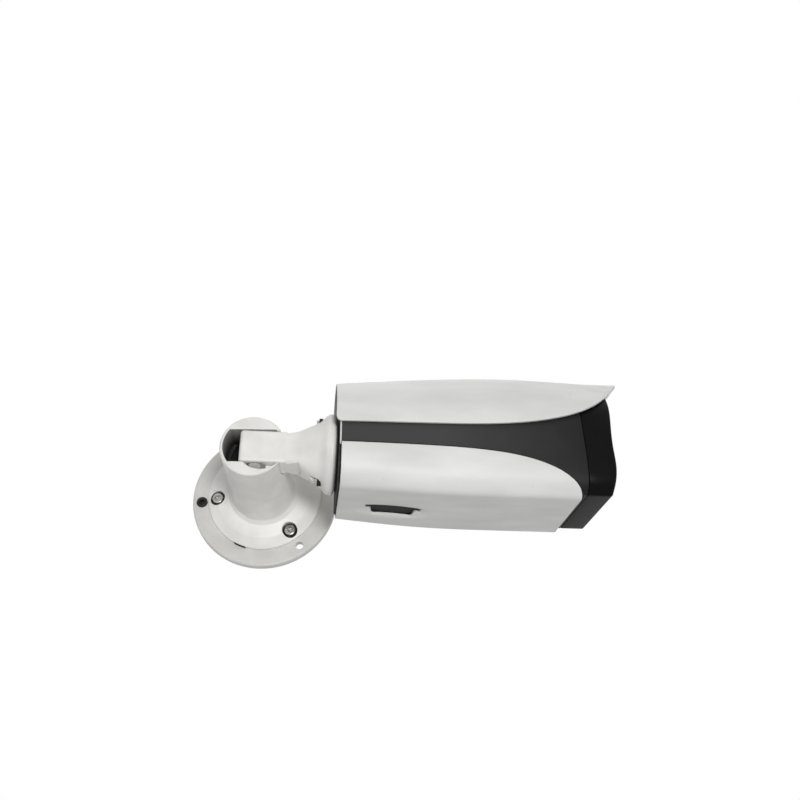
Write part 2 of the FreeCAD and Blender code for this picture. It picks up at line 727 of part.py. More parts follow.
def cable_gland():
    """Sealing gland in the stub, where the lead comes in."""
    body = bar_u(STUB_BORE_R - FIT, RING_SEAT - ROLL_NUT_T + 2, CAP_INNER)
    reach = STUB_BORE_R + 1.8
    turns = [k * math.pi / 3 for k in range(6)]
    corners = [V(CAP_INNER, reach * math.cos(a), reach * math.sin(a)) for a in turns]
    hexagon = polygon(corners).extrude(V(3.2, 0, 0))
    return body.fuse(hexagon).cut(bar_u(3.2, RING_SEAT - ROLL_NUT_T, CAP_INNER + 6))


# Front end, from the seam forward

def lip_back():
    return BODY_FRONT - LIP_T


def window_back():
    return lip_back() - GASKET_T - WINDOW_T


def board_front():
    return window_back() - FRAME_T


def front_bezel():
    """Black hood of the front end: its face leans forward a little towards the top."""
    reach = BODY_FRONT + 4
    shell = form_ring(HOUSING_INSET, INNER_INSET, SEAM, reach)
    lip = form_ring(INNER_INSET - 0.5, INNER_INSET + WINDOW_LAND, lip_back(), reach)
    ahead = side_prism(chain([(BODY_FRONT - 60 * FRONT_RAKE, -60), (reach + 9, -60), (reach + 9, 60),
                              (BODY_FRONT + 60 * FRONT_RAKE, 60), (BODY_FRONT - 60 * FRONT_RAKE, -60)]))
    return shell.fuse(lip).cut(ahead).removeSplitter()


def window_gasket():
    return form_ring(FIT_INSET, INNER_INSET + WINDOW_LAND - 0.5, window_back() + WINDOW_T, lip_back())


def front_window():
    return form_slice(FIT_INSET, window_back(), window_back() + WINDOW_T)


def window_frame():
    return form_ring(FIT_INSET, INNER_INSET + WINDOW_LAND - 0.5, board_front(), window_back())


def led_board():
    board = form_slice(FIT_INSET, board_front() - BOARD_T, board_front())
    return board.cut(bar_u(HOOD_R + 2.6, SEAM, BODY_FRONT, 0, LENS_W))


def led_carrier():
    ring = form_ring(FIT_INSET, INNER_INSET + WINDOW_LAND, SEAM - SEAM_GAP, board_front() - BOARD_T)
    return ring.cut(bezel_screw_holes(M25_R + FIT))


def led_places():
    """LED centres (v, w), clear of the lens and inside the window."""
    return [(-19.0, -17.0), (19.0, -17.0), (-17.2, 25.4), (17.2, 25.4), (0.0, 34.0)]


def ir_leds():
    leds = []
    half = LED_SIZE / 2
    for v, w in led_places():
        package = block((board_front(), board_front() + 1.0), (v - half, v + half), (w - half, w + half))
        dome = Part.makeSphere(1.5, V(board_front() + 0.6, v, w))
        dome = dome.common(bar_u(1.5, board_front() + 0.6, board_front() + 3, v, w))
        leds.append(package.fuse(dome))
    return Part.makeCompound(leds)


def light_sensor():
    body = block((board_front(), board_front() + 1.2), (-7.5, -4.5), (34.0, 37.0))
    return body.fuse(bar_u(1.0, board_front() + 1.0, board_front() + 1.8, -6.0, 35.5))


def bezel_screw_spots():
    low = FLOOR_W + M25_HEAD_R + 0.25
    side = SIDE_HALF - 2.6 - INNER_INSET - M25_HEAD_R - 0.3
    return [(-14.0, low), (14.0, low), (-side, 16.0), (side, 16.0)]


def bezel_screw_holes(radius):
    reach = (SEAM - 12, board_front() - BOARD_T - 1.0)
    return Part.makeCompound([bar_u(radius, *reach, v, w) for v, w in bezel_screw_spots()])


def bezel_screws():
    one = socket_screw(M25_R, FLANGE_T + 3.0, M25_HEAD_R, M25_HEAD_H, 1.0)
    seat = SEAM - SEAM_GAP - FLANGE_T
    return Part.makeCompound([turn_to(one, V(-1, 0, 0), V(seat, v, w)) for v, w in bezel_screw_spots()])


# Lens, sensor and boards

def lens_barrel():
    barrel = bar_u(BARREL_R, BARREL_REAR, BARREL_FRONT, 0, LENS_W)
    barrel = barrel.fuse(bar_u(HOOD_R, BARREL_FRONT - HOOD_ROOT, HOOD_FRONT, 0, LENS_W))
    bore = BARREL_R - BARREL_WALL
    ledge_front = front_lens_back()
    barrel = barrel.cut(bar_u(bore, BARREL_REAR + BARREL_BACK_T, ledge_front - LEDGE_T, 0, LENS_W))
    barrel = barrel.cut(bar_u(bore, ledge_front, BARREL_FRONT + 1, 0, LENS_W))
    barrel = barrel.cut(bar_u(bore - LEDGE, ledge_front - LEDGE_T - 1, ledge_front + 1, 0, LENS_W))
    barrel = barrel.cut(bar_u(bore - 4, BARREL_REAR - 1, BARREL_REAR + BARREL_BACK_T + 1, 0, LENS_W))
    mouth_l = HOOD_FRONT - BARREL_FRONT
    mouth = Part.makeCone(bore, HOOD_R - 1.5, mouth_l, V(BARREL_FRONT, 0, LENS_W), V(1, 0, 0))
    return barrel.cut(mouth)


def front_lens_back():
    return BARREL_FRONT - 5.0


def lens_rings():
    """Knurled zoom ring clamped round the barrel."""
    outer = BARREL_R + ZOOM_RING_T
    ring = tube_u(outer, BARREL_R + FIT, *ZOOM_RING_U, 0, LENS_W)
    notches = []
    for k in range(KNURL_COUNT):
        a = 2 * math.pi * k / KNURL_COUNT
        reach = outer + 0.4
        notches.append(bar_u(KNURL_R, ZOOM_RING_U[0] - 1, ZOOM_RING_U[1] + 1, reach * math.cos(a),
                             LENS_W + reach * math.sin(a)))
    return ring.cut(Part.makeCompound(notches))


def lens_glass(u_back, radius, edge_t, bulge):
    """A lens with a flat back and a domed front."""
    rim = u_back + edge_t
    ball_r = (radius ** 2 + bulge ** 2) / (2 * bulge)
    half_turn = math.asin(radius / ball_r) / 2
    middle = V(rim + bulge - ball_r * (1 - math.cos(half_turn)), 0, ball_r * math.sin(half_turn))
    dome = Part.Arc(V(rim, 0, radius), middle, V(rim + bulge, 0, 0))
    sides = chain([(rim + bulge, 0), (u_back, 0), (u_back, radius), (rim, radius)])
    return turned_on_axis([dome.toShape(), *sides]).translated(V(0, 0, LENS_W))


def front_lens():
    return lens_glass(front_lens_back(), BARREL_R - BARREL_WALL - FIT, 3.0, 4.2)


def focus_cell():
    """Sleeve that carries the focus lens on a ledge and slides in the barrel."""
    outer = BARREL_R - BARREL_WALL - FIT
    inner = outer - CELL_WALL
    cell = tube_u(outer, inner - LEDGE, CELL_U, CELL_U + CELL_L, 0, LENS_W)
    return cell.cut(bar_u(inner, CELL_U + LEDGE_T, CELL_U + CELL_L + 1, 0, LENS_W))


def focus_lens():
    return lens_glass(CELL_U + LEDGE_T, BARREL_R - BARREL_WALL - 2 * FIT - CELL_WALL, 3.0, 3.0)


def lens_mount():
    """Box between barrel and sensor board, with the filter slide's track inside."""
    front = BARREL_REAR
    half = SENSOR_HALF
    mount = block((front - MOUNT_T, front), (-half, half), (LENS_W - half, LENS_W + half))
    track = block((front - 5.0, front - 3.4), (-half + 1.5, half - 1.5), (LENS_W - 6.3, LENS_W + 6.3))
    pocket = block((front - MOUNT_T - 1, front - 4.9), (-7, 7), (LENS_W - 6, LENS_W + 6))
    mount = mount.cut(track).cut(pocket)
    return mount.cut(bar_u(5.5, front - MOUNT_T, front + 1, 0, LENS_W))


def filter_slide():
    """Plate with the infrared filter in one window and clear glass in the other."""
    front = BARREL_REAR - 3.7
    plate = block((front - 1.0, front), (-14.3, 5.2), (LENS_W - 6.0, LENS_W + 6.0))
    for v in (0.0, -FILTER_TRAVEL):
        plate = plate.cut(bar_u(4.0, front - 2, front + 1, v, LENS_W))
    return plate


def filter_glasses():
    front = BARREL_REAR - 3.7
    return Part.makeCompound([bar_u(4.0, front - 0.9, front - 0.2, v, LENS_W) for v in (0.0, -FILTER_TRAVEL)])


def sensor_board():
    back = SENSOR_BACK
    return block((back, back + BOARD_T), (-SENSOR_HALF - 2, SENSOR_HALF + 2), (LENS_W - 18, LENS_W + 18))


def image_sensor():
    back = SENSOR_BACK + BOARD_T
    return block((back, back + 1.6), (-5.5, 5.5), (LENS_W - 4.5, LENS_W + 4.5))


def chassis_feet():
    across = CHASSIS_HALF - 6
    return [(u, v) for u in (CHASSIS_REAR + 8, CHASSIS_FRONT - 8) for v in (-across, across)]


def chassis_top():
    return FLOOR_W + CHASSIS_LIFT + CHASSIS_T


def chassis():
    """Folded tray with turned-up edges and the lens saddle."""
    low = chassis_top() - CHASSIS_T
    tray = block((CHASSIS_REAR, CHASSIS_FRONT), (-CHASSIS_HALF, CHASSIS_HALF), (low, chassis_top()))
    for side in (-1, 1):
        edge = sorted((side * CHASSIS_HALF, side * (CHASSIS_HALF - CHASSIS_T)))
        tray = tray.fuse(block((CHASSIS_REAR, CHASSIS_FRONT), edge, (low, low + 5)))
    saddle_front = BARREL_FRONT - HOOD_ROOT - 2.0
    saddle = block((saddle_front - SADDLE_W, saddle_front), (-SADDLE_HALF, SADDLE_HALF), (low, LENS_W))
    saddle = saddle.cut(bar_u(BARREL_R + FIT, BARREL_REAR, BARREL_FRONT, 0, LENS_W))
    tray = tray.fuse(saddle)
    under_lens = (BARREL_REAR - MOUNT_T, BARREL_REAR)
    lens_foot = block(under_lens, (-SADDLE_HALF, SADDLE_HALF), (low, LENS_W - SENSOR_HALF))
    return tray.fuse(lens_foot).removeSplitter()


def board_low():
    """Underside of the main board, on its standoffs."""
    return chassis_top() + STANDOFF_H


def board_ends():
    """The main board runs from the tray's rear up to the sensor board."""
    return (CHASSIS_REAR + 2.0, SENSOR_BACK - BOARD_MARGIN)


def board_holes():
    rear, front = board_ends()
    return [(u, v) for u in (rear + 4, front - 4) for v in (-13.0, 13.0)]


def main_board():
    low = board_low()
    board = block(board_ends(), (-MAIN_BOARD_HALF, MAIN_BOARD_HALF), (low, low + BOARD_T))
    for u, v in board_holes():
        board = board.cut(pin_w(M25_R, low - 1, low + BOARD_T + 1, u, v))
    return board


def board_standoffs():
    low = board_low()
    posts = []
    for u, v in board_holes():
        foot = pin_w(STANDOFF_R, chassis_top(), low, u, v)
        posts.append(foot.fuse(pin_w(M25_R - FIT, low, low + BOARD_T + 0.8, u, v)))
    return Part.makeCompound(posts)


def heat_sink():
    """Finned block on the processor."""
    low = board_low() + BOARD_T
    rear = board_ends()[0] + 9.0
    sink = block((rear, rear + SINK_L), (-SINK_HALF, SINK_HALF), (low, low + SINK_H))
    pitch = 2 * (SINK_HALF - 0.2) / (SINK_FINS + 0.6)
    for k in range(SINK_FINS):
        v = -SINK_HALF + 1.6 + pitch * k
        gap = block((rear - 1, rear + SINK_L + 1), (v, v + 0.6 * pitch), (low + 2.5, low + SINK_H + 1))
        sink = sink.cut(gap)
    return sink


def board_parts():
    """Socket and a can on the main board, behind its front holes."""
    low = board_low() + BOARD_T
    front = board_ends()[1] - 7.5
    jack = block((front - JACK_L, front), (-6, 7), (low, low + JACK_H))
    jack = jack.cut(block((front - JACK_L + 4, front + 1), (-4.5, 5.5), (low + 1, low + JACK_H - 1)))
    can = pin_w(3.0, low, low + 7, front - 6, 12.5)
    return Part.makeCompound([jack, can])


def io_board_back():
    return CAP_INNER + 5.2


def io_board():
    back = io_board_back()
    board = block((back, back + BOARD_T), (-19, 19), (LENS_W - 5, LENS_W + 19))
    return board.cut(bar_u(3.0, back - 1, back + 3, 0, LENS_W))


def build():
    os.makedirs("parts", exist_ok=True)
    for piece in (wall_plate, base_cap, base_screws, hole_grommet, post, post_retainer, retainer_screws,
                  pan_washer, pivot_bolt, pivot_nut):
        save(piece.__name__, piece())
    for piece in (arm, pivot_bush, roll_ring, arm_screws, rear_cap, rear_band, rear_gasket, roll_nut,
                  cable_gland, main_housing, top_cover, cover_screws, lower_cover, front_bezel,
                  window_gasket, front_window, window_frame, led_board, led_carrier, ir_leds, light_sensor,
                  bezel_screws, lens_barrel, lens_rings, front_lens, focus_cell, focus_lens, lens_mount,
                  filter_slide, filter_glasses, sensor_board, image_sensor, chassis, main_board,
                  board_standoffs, heat_sink, board_parts, io_board):
        save(piece.__name__, set_on_pivot(piece()))


build()
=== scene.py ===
import bmesh
import bpy
import json
import math
from bpy.props import FloatProperty, FloatVectorProperty, PointerProperty
from mathutils import Matrix, Vector


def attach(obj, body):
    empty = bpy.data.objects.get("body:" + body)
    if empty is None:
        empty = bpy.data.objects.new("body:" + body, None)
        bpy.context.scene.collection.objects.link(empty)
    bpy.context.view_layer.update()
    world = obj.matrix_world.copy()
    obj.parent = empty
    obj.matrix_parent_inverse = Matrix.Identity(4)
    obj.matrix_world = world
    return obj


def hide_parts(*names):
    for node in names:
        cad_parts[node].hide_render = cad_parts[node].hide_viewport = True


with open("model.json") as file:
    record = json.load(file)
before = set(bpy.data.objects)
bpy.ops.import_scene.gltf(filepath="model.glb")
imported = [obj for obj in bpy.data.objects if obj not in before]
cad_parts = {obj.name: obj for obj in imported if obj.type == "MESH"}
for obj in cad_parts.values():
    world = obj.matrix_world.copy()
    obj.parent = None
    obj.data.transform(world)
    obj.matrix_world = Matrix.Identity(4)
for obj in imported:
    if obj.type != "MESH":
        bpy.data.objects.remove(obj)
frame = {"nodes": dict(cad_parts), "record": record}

bl_info = {
    "name": "Bullet Security Camera",
    "version": (1, 0, 0),
    "blender": (4, 5, 0),
    "location": "View3D > Sidebar > Security Camera",
    "description": "Builds the covers, trims and finishes of a bullet camera on its wall bracket",
    "category": "Object",
}

# The wall is the plane y = 0, the bracket stands out along -Y and +Z is up.
# Camera pieces are drawn in millimetres in the arm's own frame: u forward, v sideways and w up
# from the tilt pivot. Bracket pieces are drawn by their depth out from the wall.
MM = 0.001
PIVOT = Vector((0.0015, -0.0714, 0.0))
YAW = math.radians(4.2)
ARM_FRAME = Matrix.Translation(PIVOT) @ Matrix.Rotation(YAW, 4, "Z") @ Matrix.Scale(MM, 4)
WALL_FRAME = Matrix.Scale(MM, 4)

# The body's section: crown height, shoulder drop, floor height and floor half width along u.
FORM = ((43.0, 42.6, 0.0, -29.2, 23.3), (95.0, 48.3, 0.0, -32.1, 26.6), (140.0, 51.3, 0.0, -32.5, 26.9),
        (182.0, 52.0, 1.5, -32.4, 26.6), (219.0, 54.6, 7.0, -32.3, 26.4))
SIDE_HALF = 34.6
STRIPE_TOP = ((47.0, 4.7), (96.0, 5.9), (136.0, 8.0), (162.0, 12.3), (180.0, 18.5), (192.3, 26.6), (202.0, 37.2),
              (215.0, 54.2))
STRIPE_LOW = ((47.2, -8.1), (100.0, -8.4), (130.0, -10.2), (150.0, -14.0), (163.0, -19.2), (171.5, -25.2),
              (175.2, -30.0), (176.2, -34.0))
HOUSING_INSET = 2.7
INNER_INSET = 5.3
TOP_REAR = 43.1
LOWER_REAR = 46.2
CAP_REAR = 45.2
BAND_T = 0.85
HOUSING_REAR = 47.5
SEAM = 179.6
BODY_FRONT = 195.6
# How far the bezel's front edge runs ahead of its seam plane at heights w
FRONT_SWEEP = ((-34.0, -2.0), (-26.0, -1.1), (-20.0, -0.1), (-14.0, 0.45), (-6.0, 0.35), (4.0, 0.55), (16.0, 1.6),
               (28.0, 2.9), (50.0, 4.6))
FRONT_RAKE = 0.045
LIP_T = 2.6
SCOOP = (77.0, 4.0, 22.0, 29.0)


def linear(hex_text):
    """Turn an sRGB hex colour such as #d8d8d6 into linear red, green and blue."""
    parts = [int(hex_text[i:i + 2], 16) / 255.0 for i in (1, 3, 5)]
    return tuple(c / 12.92 if c <= 0.04045 else ((c + 0.055) / 1.055) ** 2.4 for c in parts)


# Curves and meshes

class Spline:
    """Natural cubic spline through (x, y) points."""

    def __init__(self, xs, ys):
        self.xs = list(xs)
        self.ys = list(ys)
        n = len(self.xs)
        gaps = [self.xs[i + 1] - self.xs[i] for i in range(n - 1)]
        slopes = [(self.ys[i + 1] - self.ys[i]) / gaps[i] for i in range(n - 1)]
        upper = [0.0] * n
        right = [0.0] * n
        for i in range(1, n - 1):
            pivot = 2 * (gaps[i - 1] + gaps[i]) - gaps[i - 1] * upper[i - 1]
            upper[i] = gaps[i] / pivot
            right[i] = (6 * (slopes[i] - slopes[i - 1]) - gaps[i - 1] * right[i - 1]) / pivot
        self.bends = [0.0] * n
        for i in range(n - 2, 0, -1):
            self.bends[i] = right[i] - upper[i] * self.bends[i + 1]

    def __call__(self, x):
        i = 0
        while i < len(self.xs) - 2 and x > self.xs[i + 1]:
            i += 1
        gap = self.xs[i + 1] - self.xs[i]
        a = (self.xs[i + 1] - x) / gap
        b = 1 - a
        bend = (a ** 3 - a) * self.bends[i] + (b ** 3 - b) * self.bends[i + 1]
        return a * self.ys[i] + b * self.ys[i + 1] + bend * gap * gap / 6


form_lines = [Spline([station[0] for station in FORM], [station[k] for station in FORM]) for k in (1, 2, 3, 4)]
crown_at, drop_at, floor_at, floor_half_at = form_lines
stripe_top_raw = Spline([u for u, w in STRIPE_TOP], [w for u, w in STRIPE_TOP])
sweep_at = Spline([w for w, du in FRONT_SWEEP], [du for w, du in FRONT_SWEEP])


def smooth_path(points, count=500):
    """A smooth curve through (u, w) points, as closely spaced points."""
    lengths = [0.0]
    for a, b in zip(points, points[1:]):
        lengths.append(lengths[-1] + math.dist(a, b))
    u_at = Spline(lengths, [u for u, w in points])
    w_at = Spline(lengths, [w for u, w in points])
    return [(u_at(lengths[-1] * k / count), w_at(lengths[-1] * k / count)) for k in range(count + 1)]


stripe_low_path = smooth_path(STRIPE_LOW)


def stripe_low_at(u):
    """Upper edge of the lower cover."""
    for a, b in zip(stripe_low_path, stripe_low_path[1:]):
        if u <= b[0]:
            return a[1] + (u - a[0]) / (b[0] - a[0]) * (b[1] - a[1])
    return stripe_low_path[-1][1]


def stripe_top_at(u):
    """Lower edge of the top cover, rounded up at its rear corner."""
    corner = 3.0
    edge = stripe_top_raw(max(u, STRIPE_TOP[0][0]))
    behind = TOP_REAR + corner - u
    if behind > 0:
        edge += corner - math.sqrt(max(0.0, corner ** 2 - behind ** 2))
    return edge


def half_section(u, inset=0.0, steps=96):
    """Right half of the section as (v, w) points from the lower corner to the crown."""
    top, drop, floor, floor_half = (line(u) for line in form_lines)
    points = [(floor_half, floor), (SIDE_HALF - 2.2, floor + 6.4), (SIDE_HALF, floor + 16.4),
              (SIDE_HALF - 0.6, 4.0), (SIDE_HALF - 3.2, 0.475 * (top - drop)), (24.0, top - 13.3 - drop),
              (16.0, top - 5.6 - 0.8 * drop), (8.0, top - 1.4 - 0.35 * drop), (0.0, top)]
    whole = points + [(-v, w) for v, w in reversed(points[:-1])]
    lengths = [0.0]
    for a, b in zip(whole, whole[1:]):
        lengths.append(lengths[-1] + math.hypot(b[0] - a[0], b[1] - a[1]))
    v_at = Spline(lengths, [v for v, w in whole])
    w_at = Spline(lengths, [w for v, w in whole])
    reach = lengths[len(points) - 1]
    line = [(v_at(reach * k / steps), w_at(reach * k / steps)) for k in range(steps + 1)]
    return drawn_in(line, inset) if inset else line


def drawn_in(line, inset):
    """The half section moved inward, square to itself, with its corner kept on the moved floor."""
    moved = []
    for k, here in enumerate(line):
        before = line[max(k - 1, 0)]
        after = line[min(k + 1, len(line) - 1)]
        run = math.hypot(after[0] - before[0], after[1] - before[1])
        moved.append((here[0] - inset * (after[1] - before[1]) / run, here[1] + inset * (after[0] - before[0]) / run))
    moved[-1] = (0.0, line[-1][1] - inset)
    floor = line[0][1] + inset
    kept = [p for p in moved if p[1] > floor]
    first = moved[len(moved) - len(kept)]
    before = moved[max(len(moved) - len(kept) - 1, 0)]
    if before[1] < floor < first[1]:
        part = (floor - before[1]) / (first[1] - before[1])
        corner = (before[0] + part * (first[0] - before[0]), floor)
    else:
        turn = math.atan2(line[1][1] - line[0][1], line[1][0] - line[0][0])
        corner = (line[0][0] - inset * math.tan(turn / 2), floor)
    return [corner, *kept]


def resampled(line, count):
    """The same open line as evenly spaced points."""
    lengths = [0.0]
    for a, b in zip(line, line[1:]):
        lengths.append(lengths[-1] + math.hypot(b[0] - a[0], b[1] - a[1]))
    total = lengths[-1]
    points = []
    k = 0
    for step in range(count + 1):
        goal = total * step / count
        while k < len(line) - 2 and lengths[k + 1] < goal:
            k += 1
        span = lengths[k + 1] - lengths[k]
        part = (goal - lengths[k]) / span if span > 1e-9 else 0.0
        part = min(max(part, 0.0), 1.0)
        points.append(tuple(line[k][i] + part * (line[k + 1][i] - line[k][i]) for i in range(len(line[k]))))
    return points


def above(line, level):
    """The part of a half section that lies above a level, cut exactly there."""
    for k, (a, b) in enumerate(zip(line, line[1:])):
        if a[1] <= level < b[1]:
            part = (level - a[1]) / (b[1] - a[1])
            return [(a[0] + part * (b[0] - a[0]), level), *line[k + 1:]]
    return [line[-1], line[-1]] if level >= line[-1][1] else line


def grid_faces(rows, columns, closed=False):
    """Quads of a grid whose vertices run row by row."""
    faces = []
    for r in range(rows - 1):
        for c in range(columns if closed else columns - 1):
            d = (c + 1) % columns
            faces.append((r * columns + c, r * columns + d, (r + 1) * columns + d, (r + 1) * columns + c))
    return faces


def new_piece(name, vertices, faces, place, merge=1e-6):
    """Make an object from drawn vertices, placed by a matrix into the model's metres."""
    mesh = bpy.data.meshes.new(name)
    mesh.from_pydata([place @ Vector(v) for v in vertices], [], faces)
    tidy = bmesh.new()
    tidy.from_mesh(mesh)
    bmesh.ops.remove_doubles(tidy, verts=tidy.verts, dist=merge)
    bmesh.ops.dissolve_degenerate(tidy, edges=tidy.edges, dist=merge)
    bmesh.ops.recalc_face_normals(tidy, faces=tidy.faces)
    tidy.to_mesh(mesh)
    tidy.free()
    piece = bpy.data.objects.new(name, mesh)
    bpy.context.scene.collection.objects.link(piece)
    return piece


def apply_modifiers(piece):
    """Turn a piece's modifiers into its own mesh."""
    bpy.context.view_layer.update()
    solved = piece.evaluated_get(bpy.context.evaluated_depsgraph_get())
    mesh = bpy.data.meshes.new_from_object(solved)
    old = piece.data
    piece.modifiers.clear()
    piece.data = mesh
    mesh.name = piece.name
    bpy.data.meshes.remove(old)


def cut_out(piece, cutter):
    """Take the cutter's space out of a piece and drop the cutter."""
    knife = piece.modifiers.new("Cut", "BOOLEAN")
    knife.operation = "DIFFERENCE"
    knife.solver = "EXACT"
    knife.object = cutter
    apply_modifiers(piece)
    bpy.data.objects.remove(cutter)


def soften(piece, width, angle=math.radians(32)):
    """Round a piece's sharp edges by a small width and shade the rest smooth."""
    edge = piece.modifiers.new("Soft edges", "BEVEL")
    edge.width = width
    edge.segments = 2
    edge.limit_method = "ANGLE"
    edge.angle_limit = angle
    edge.use_clamp_overlap = True
    edge.harden_normals = False
    apply_modifiers(piece)
    for face in piece.data.polygons:
        face.use_smooth = True
    piece.data.set_sharp_from_angle(angle=math.radians(38))


def dress(piece, body, slot, finish, *nodes):
    """Give a piece its body, finish and the CAD nodes it stands for; its record slot argument is not used."""
    piece.data.materials.clear()
    piece.data.materials.append(finish)
    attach(piece, body)
    if nodes:
        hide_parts(*nodes)
    return piece


def section_loop(u, inset, side_steps, floor_steps, lean=None):
    """Closed outline of the body at u: up the right side, over the crown, down and along the floor."""
    right = resampled(half_section(u, inset), side_steps)
    left = [(-v, w) for v, w in reversed(right[:-1])]
    floor = [(-right[0][0] + 2 * right[0][0] * k / floor_steps, right[0][1]) for k in range(1, floor_steps)]
    return [(u + (lean(w) if lean else 0.0), v, w) for v, w in [*right, *left, *floor]]


def swept_ring(name, stations, side_steps=48, floor_steps=20):
    """A closed band round the body through (u, inset, lean) stations, back to the first one."""
    loops = [section_loop(u, inset, side_steps, floor_steps, *lean) for u, inset, *lean in stations]
    vertices = [p for loop in [*loops, loops[0]] for p in loop]
    faces = grid_faces(len(loops) + 1, len(loops[0]), closed=True)
    return new_piece(name, vertices, faces, ARM_FRAME)


def lathe(name, outline, place, steps=72):
    """Turn a closed (along, radius) outline about the first drawn axis; a third value of 6 makes that ring six-sided."""
    vertices = []
    for k in range(steps):
        a = 2 * math.pi * k / steps
        for along, r, *corners in outline:
            if corners:
                r *= math.cos(math.pi / 6) / math.cos(a % (math.pi / 3) - math.pi / 6)
            vertices.append((along, r * math.cos(a), r * math.sin(a)))
    vertices += vertices[:len(outline)]
    return new_piece(name, vertices, grid_faces(steps + 1, len(outline), closed=True), place)


def joined(name, pieces):
    """One object from several pieces, in their own places."""
    mesh = bpy.data.meshes.new(name)
    whole = bmesh.new()
    for piece in pieces:
        whole.from_mesh(piece.data)
        bpy.data.objects.remove(piece)
    whole.to_mesh(mesh)
    whole.free()
    together = bpy.data.objects.new(name, mesh)
    bpy.context.scene.collection.objects.link(together)
    return together


def screw_outline(seat, head_h, head_r, shank_r, shank_end, socket_r):
    """Outline of a socket-head screw standing on its seat, from the end of its shank to the socket's floor."""
    top = seat + math.copysign(head_h, seat - shank_end)
    up = math.copysign(1.0, seat - shank_end)
    return [(shank_end, 0.0), (shank_end, shank_r * 0.8), (shank_end + up * 0.4, shank_r), (seat, shank_r),
            (seat, head_r), (top - up * 0.35, head_r), (top - up * 0.1, head_r - 0.12), (top, head_r - 0.4),
            (top, socket_r + 0.12, 6), (top - up * 0.12, socket_r, 6), (top - up * 0.55 * head_h, socket_r, 6),
            (top - up * 0.7 * head_h, 0.0)]


# Materials

def add_node(tree, kind, values=None, links=None, **settings):
    """Add one node with its settings, socket values and incoming links."""
    node = tree.nodes.new(kind)
    for key, value in settings.items():
        setattr(node, key, value)
    for key, value in (values or {}).items():
        node.inputs[key].default_value = value
    for key, (source, output) in (links or {}).items():
        tree.links.new(source.outputs[output], node.inputs[key])
    return node


def new_finish(name, colour, roughness, metallic=0.0, **sockets):
    """A material with its shader set straight on the sockets, and its object coordinates in millimetres."""
    finish = bpy.data.materials.new(name)
    finish.use_nodes = True
    tree = finish.node_tree
    tree.nodes.clear()
    shader = add_node(tree, "ShaderNodeBsdfPrincipled",
                      {"Base Color": (*colour, 1.0), "Roughness": roughness, "Metallic": metallic, **sockets})
    add_node(tree, "ShaderNodeOutputMaterial", links={"Surface": (shader, "BSDF")})
    where = add_node(tree, "ShaderNodeTexCoord")
    spot = add_node(tree, "ShaderNodeVectorMath", {1: (1000.0, 1000.0, 1000.0)}, {0: (where, "Object")},
                    operation="MULTIPLY")
    return finish, tree, shader, spot


def add_bump(tree, shader, height, output, depth_mm, round_mm=0.0):
    """Relief from a pattern, over edges that shade as rounded by a real radius."""
    bump = add_node(tree, "ShaderNodeBump", {"Distance": depth_mm * MM}, {"Height": (height, output)})
    if round_mm:
        edge = add_node(tree, "ShaderNodeBevel", {"Radius": round_mm * MM}, samples=6)
        tree.links.new(edge.outputs["Normal"], bump.inputs["Normal"])
    tree.links.new(bump.outputs["Normal"], shader.inputs["Normal"])


def tint(tree, spot, shader, light, dark, size_mm, contrast=(0.35, 0.65), stretch=(1.0, 1.0, 1.0)):
    """Let the base colour drift between two tones in patches of a real size."""
    sized = add_node(tree, "ShaderNodeVectorMath", {1: stretch}, {0: (spot, 0)}, operation="MULTIPLY")
    cloud = add_node(tree, "ShaderNodeTexNoise", {"Scale": 1.0 / size_mm, "Detail": 3.0}, {"Vector": (sized, 0)})
    ramp = add_node(tree, "ShaderNodeValToRGB", links={"Fac": (cloud, "Fac")})
    ramp.color_ramp.elements[0].position, ramp.color_ramp.elements[1].position = contrast
    ramp.color_ramp.elements[0].color = (*dark, 1.0)
    ramp.color_ramp.elements[1].color = (*light, 1.0)
    tree.links.new(ramp.outputs["Color"], shader.inputs["Base Color"])
    return ramp


def powder_coated_aluminium(name, light, dark, wear, bore=None):
    # Die-cast aluminium under a baked powder coat: an even satin white with a fine orange peel,
    # which is about 1 mm in life and drawn at 1.6 mm so that it shows. Down in a bore the colour
    # greys and darkens with depth, a painted shade.
    finish, tree, shader, spot = new_finish(name, light, 0.42, IOR=1.5)
    drift = tint(tree, spot, shader, light, dark, 14.0)
    grit = add_node(tree, "ShaderNodeTexNoise", {"Scale": 1 / 0.9, "Detail": 2.0}, {"Vector": (spot, 0)})
    speck = add_node(tree, "ShaderNodeMapRange", {"From Min": 0.73, "From Max": 0.80, "To Max": 0.5},
                     {"Value": (grit, "Fac")})
    mixed = add_node(tree, "ShaderNodeMix", {"B": (*wear, 1.0)}, {"Factor": (speck, "Result"), "A": (drift, "Color")},
                     data_type="RGBA")
    # Painted shade down the bore, darker with depth.
    if bore:
        mixed = bore_painted_shade(tree, spot, mixed, *bore)
    tree.links.new(mixed.outputs["Result"], shader.inputs["Base Color"])
    peel = add_node(tree, "ShaderNodeTexNoise", {"Scale": 1 / 1.6, "Detail": 2.0}, {"Vector": (spot, 0)})
    add_bump(tree, shader, peel, "Fac", 0.03, round_mm=0.45)
    return finish


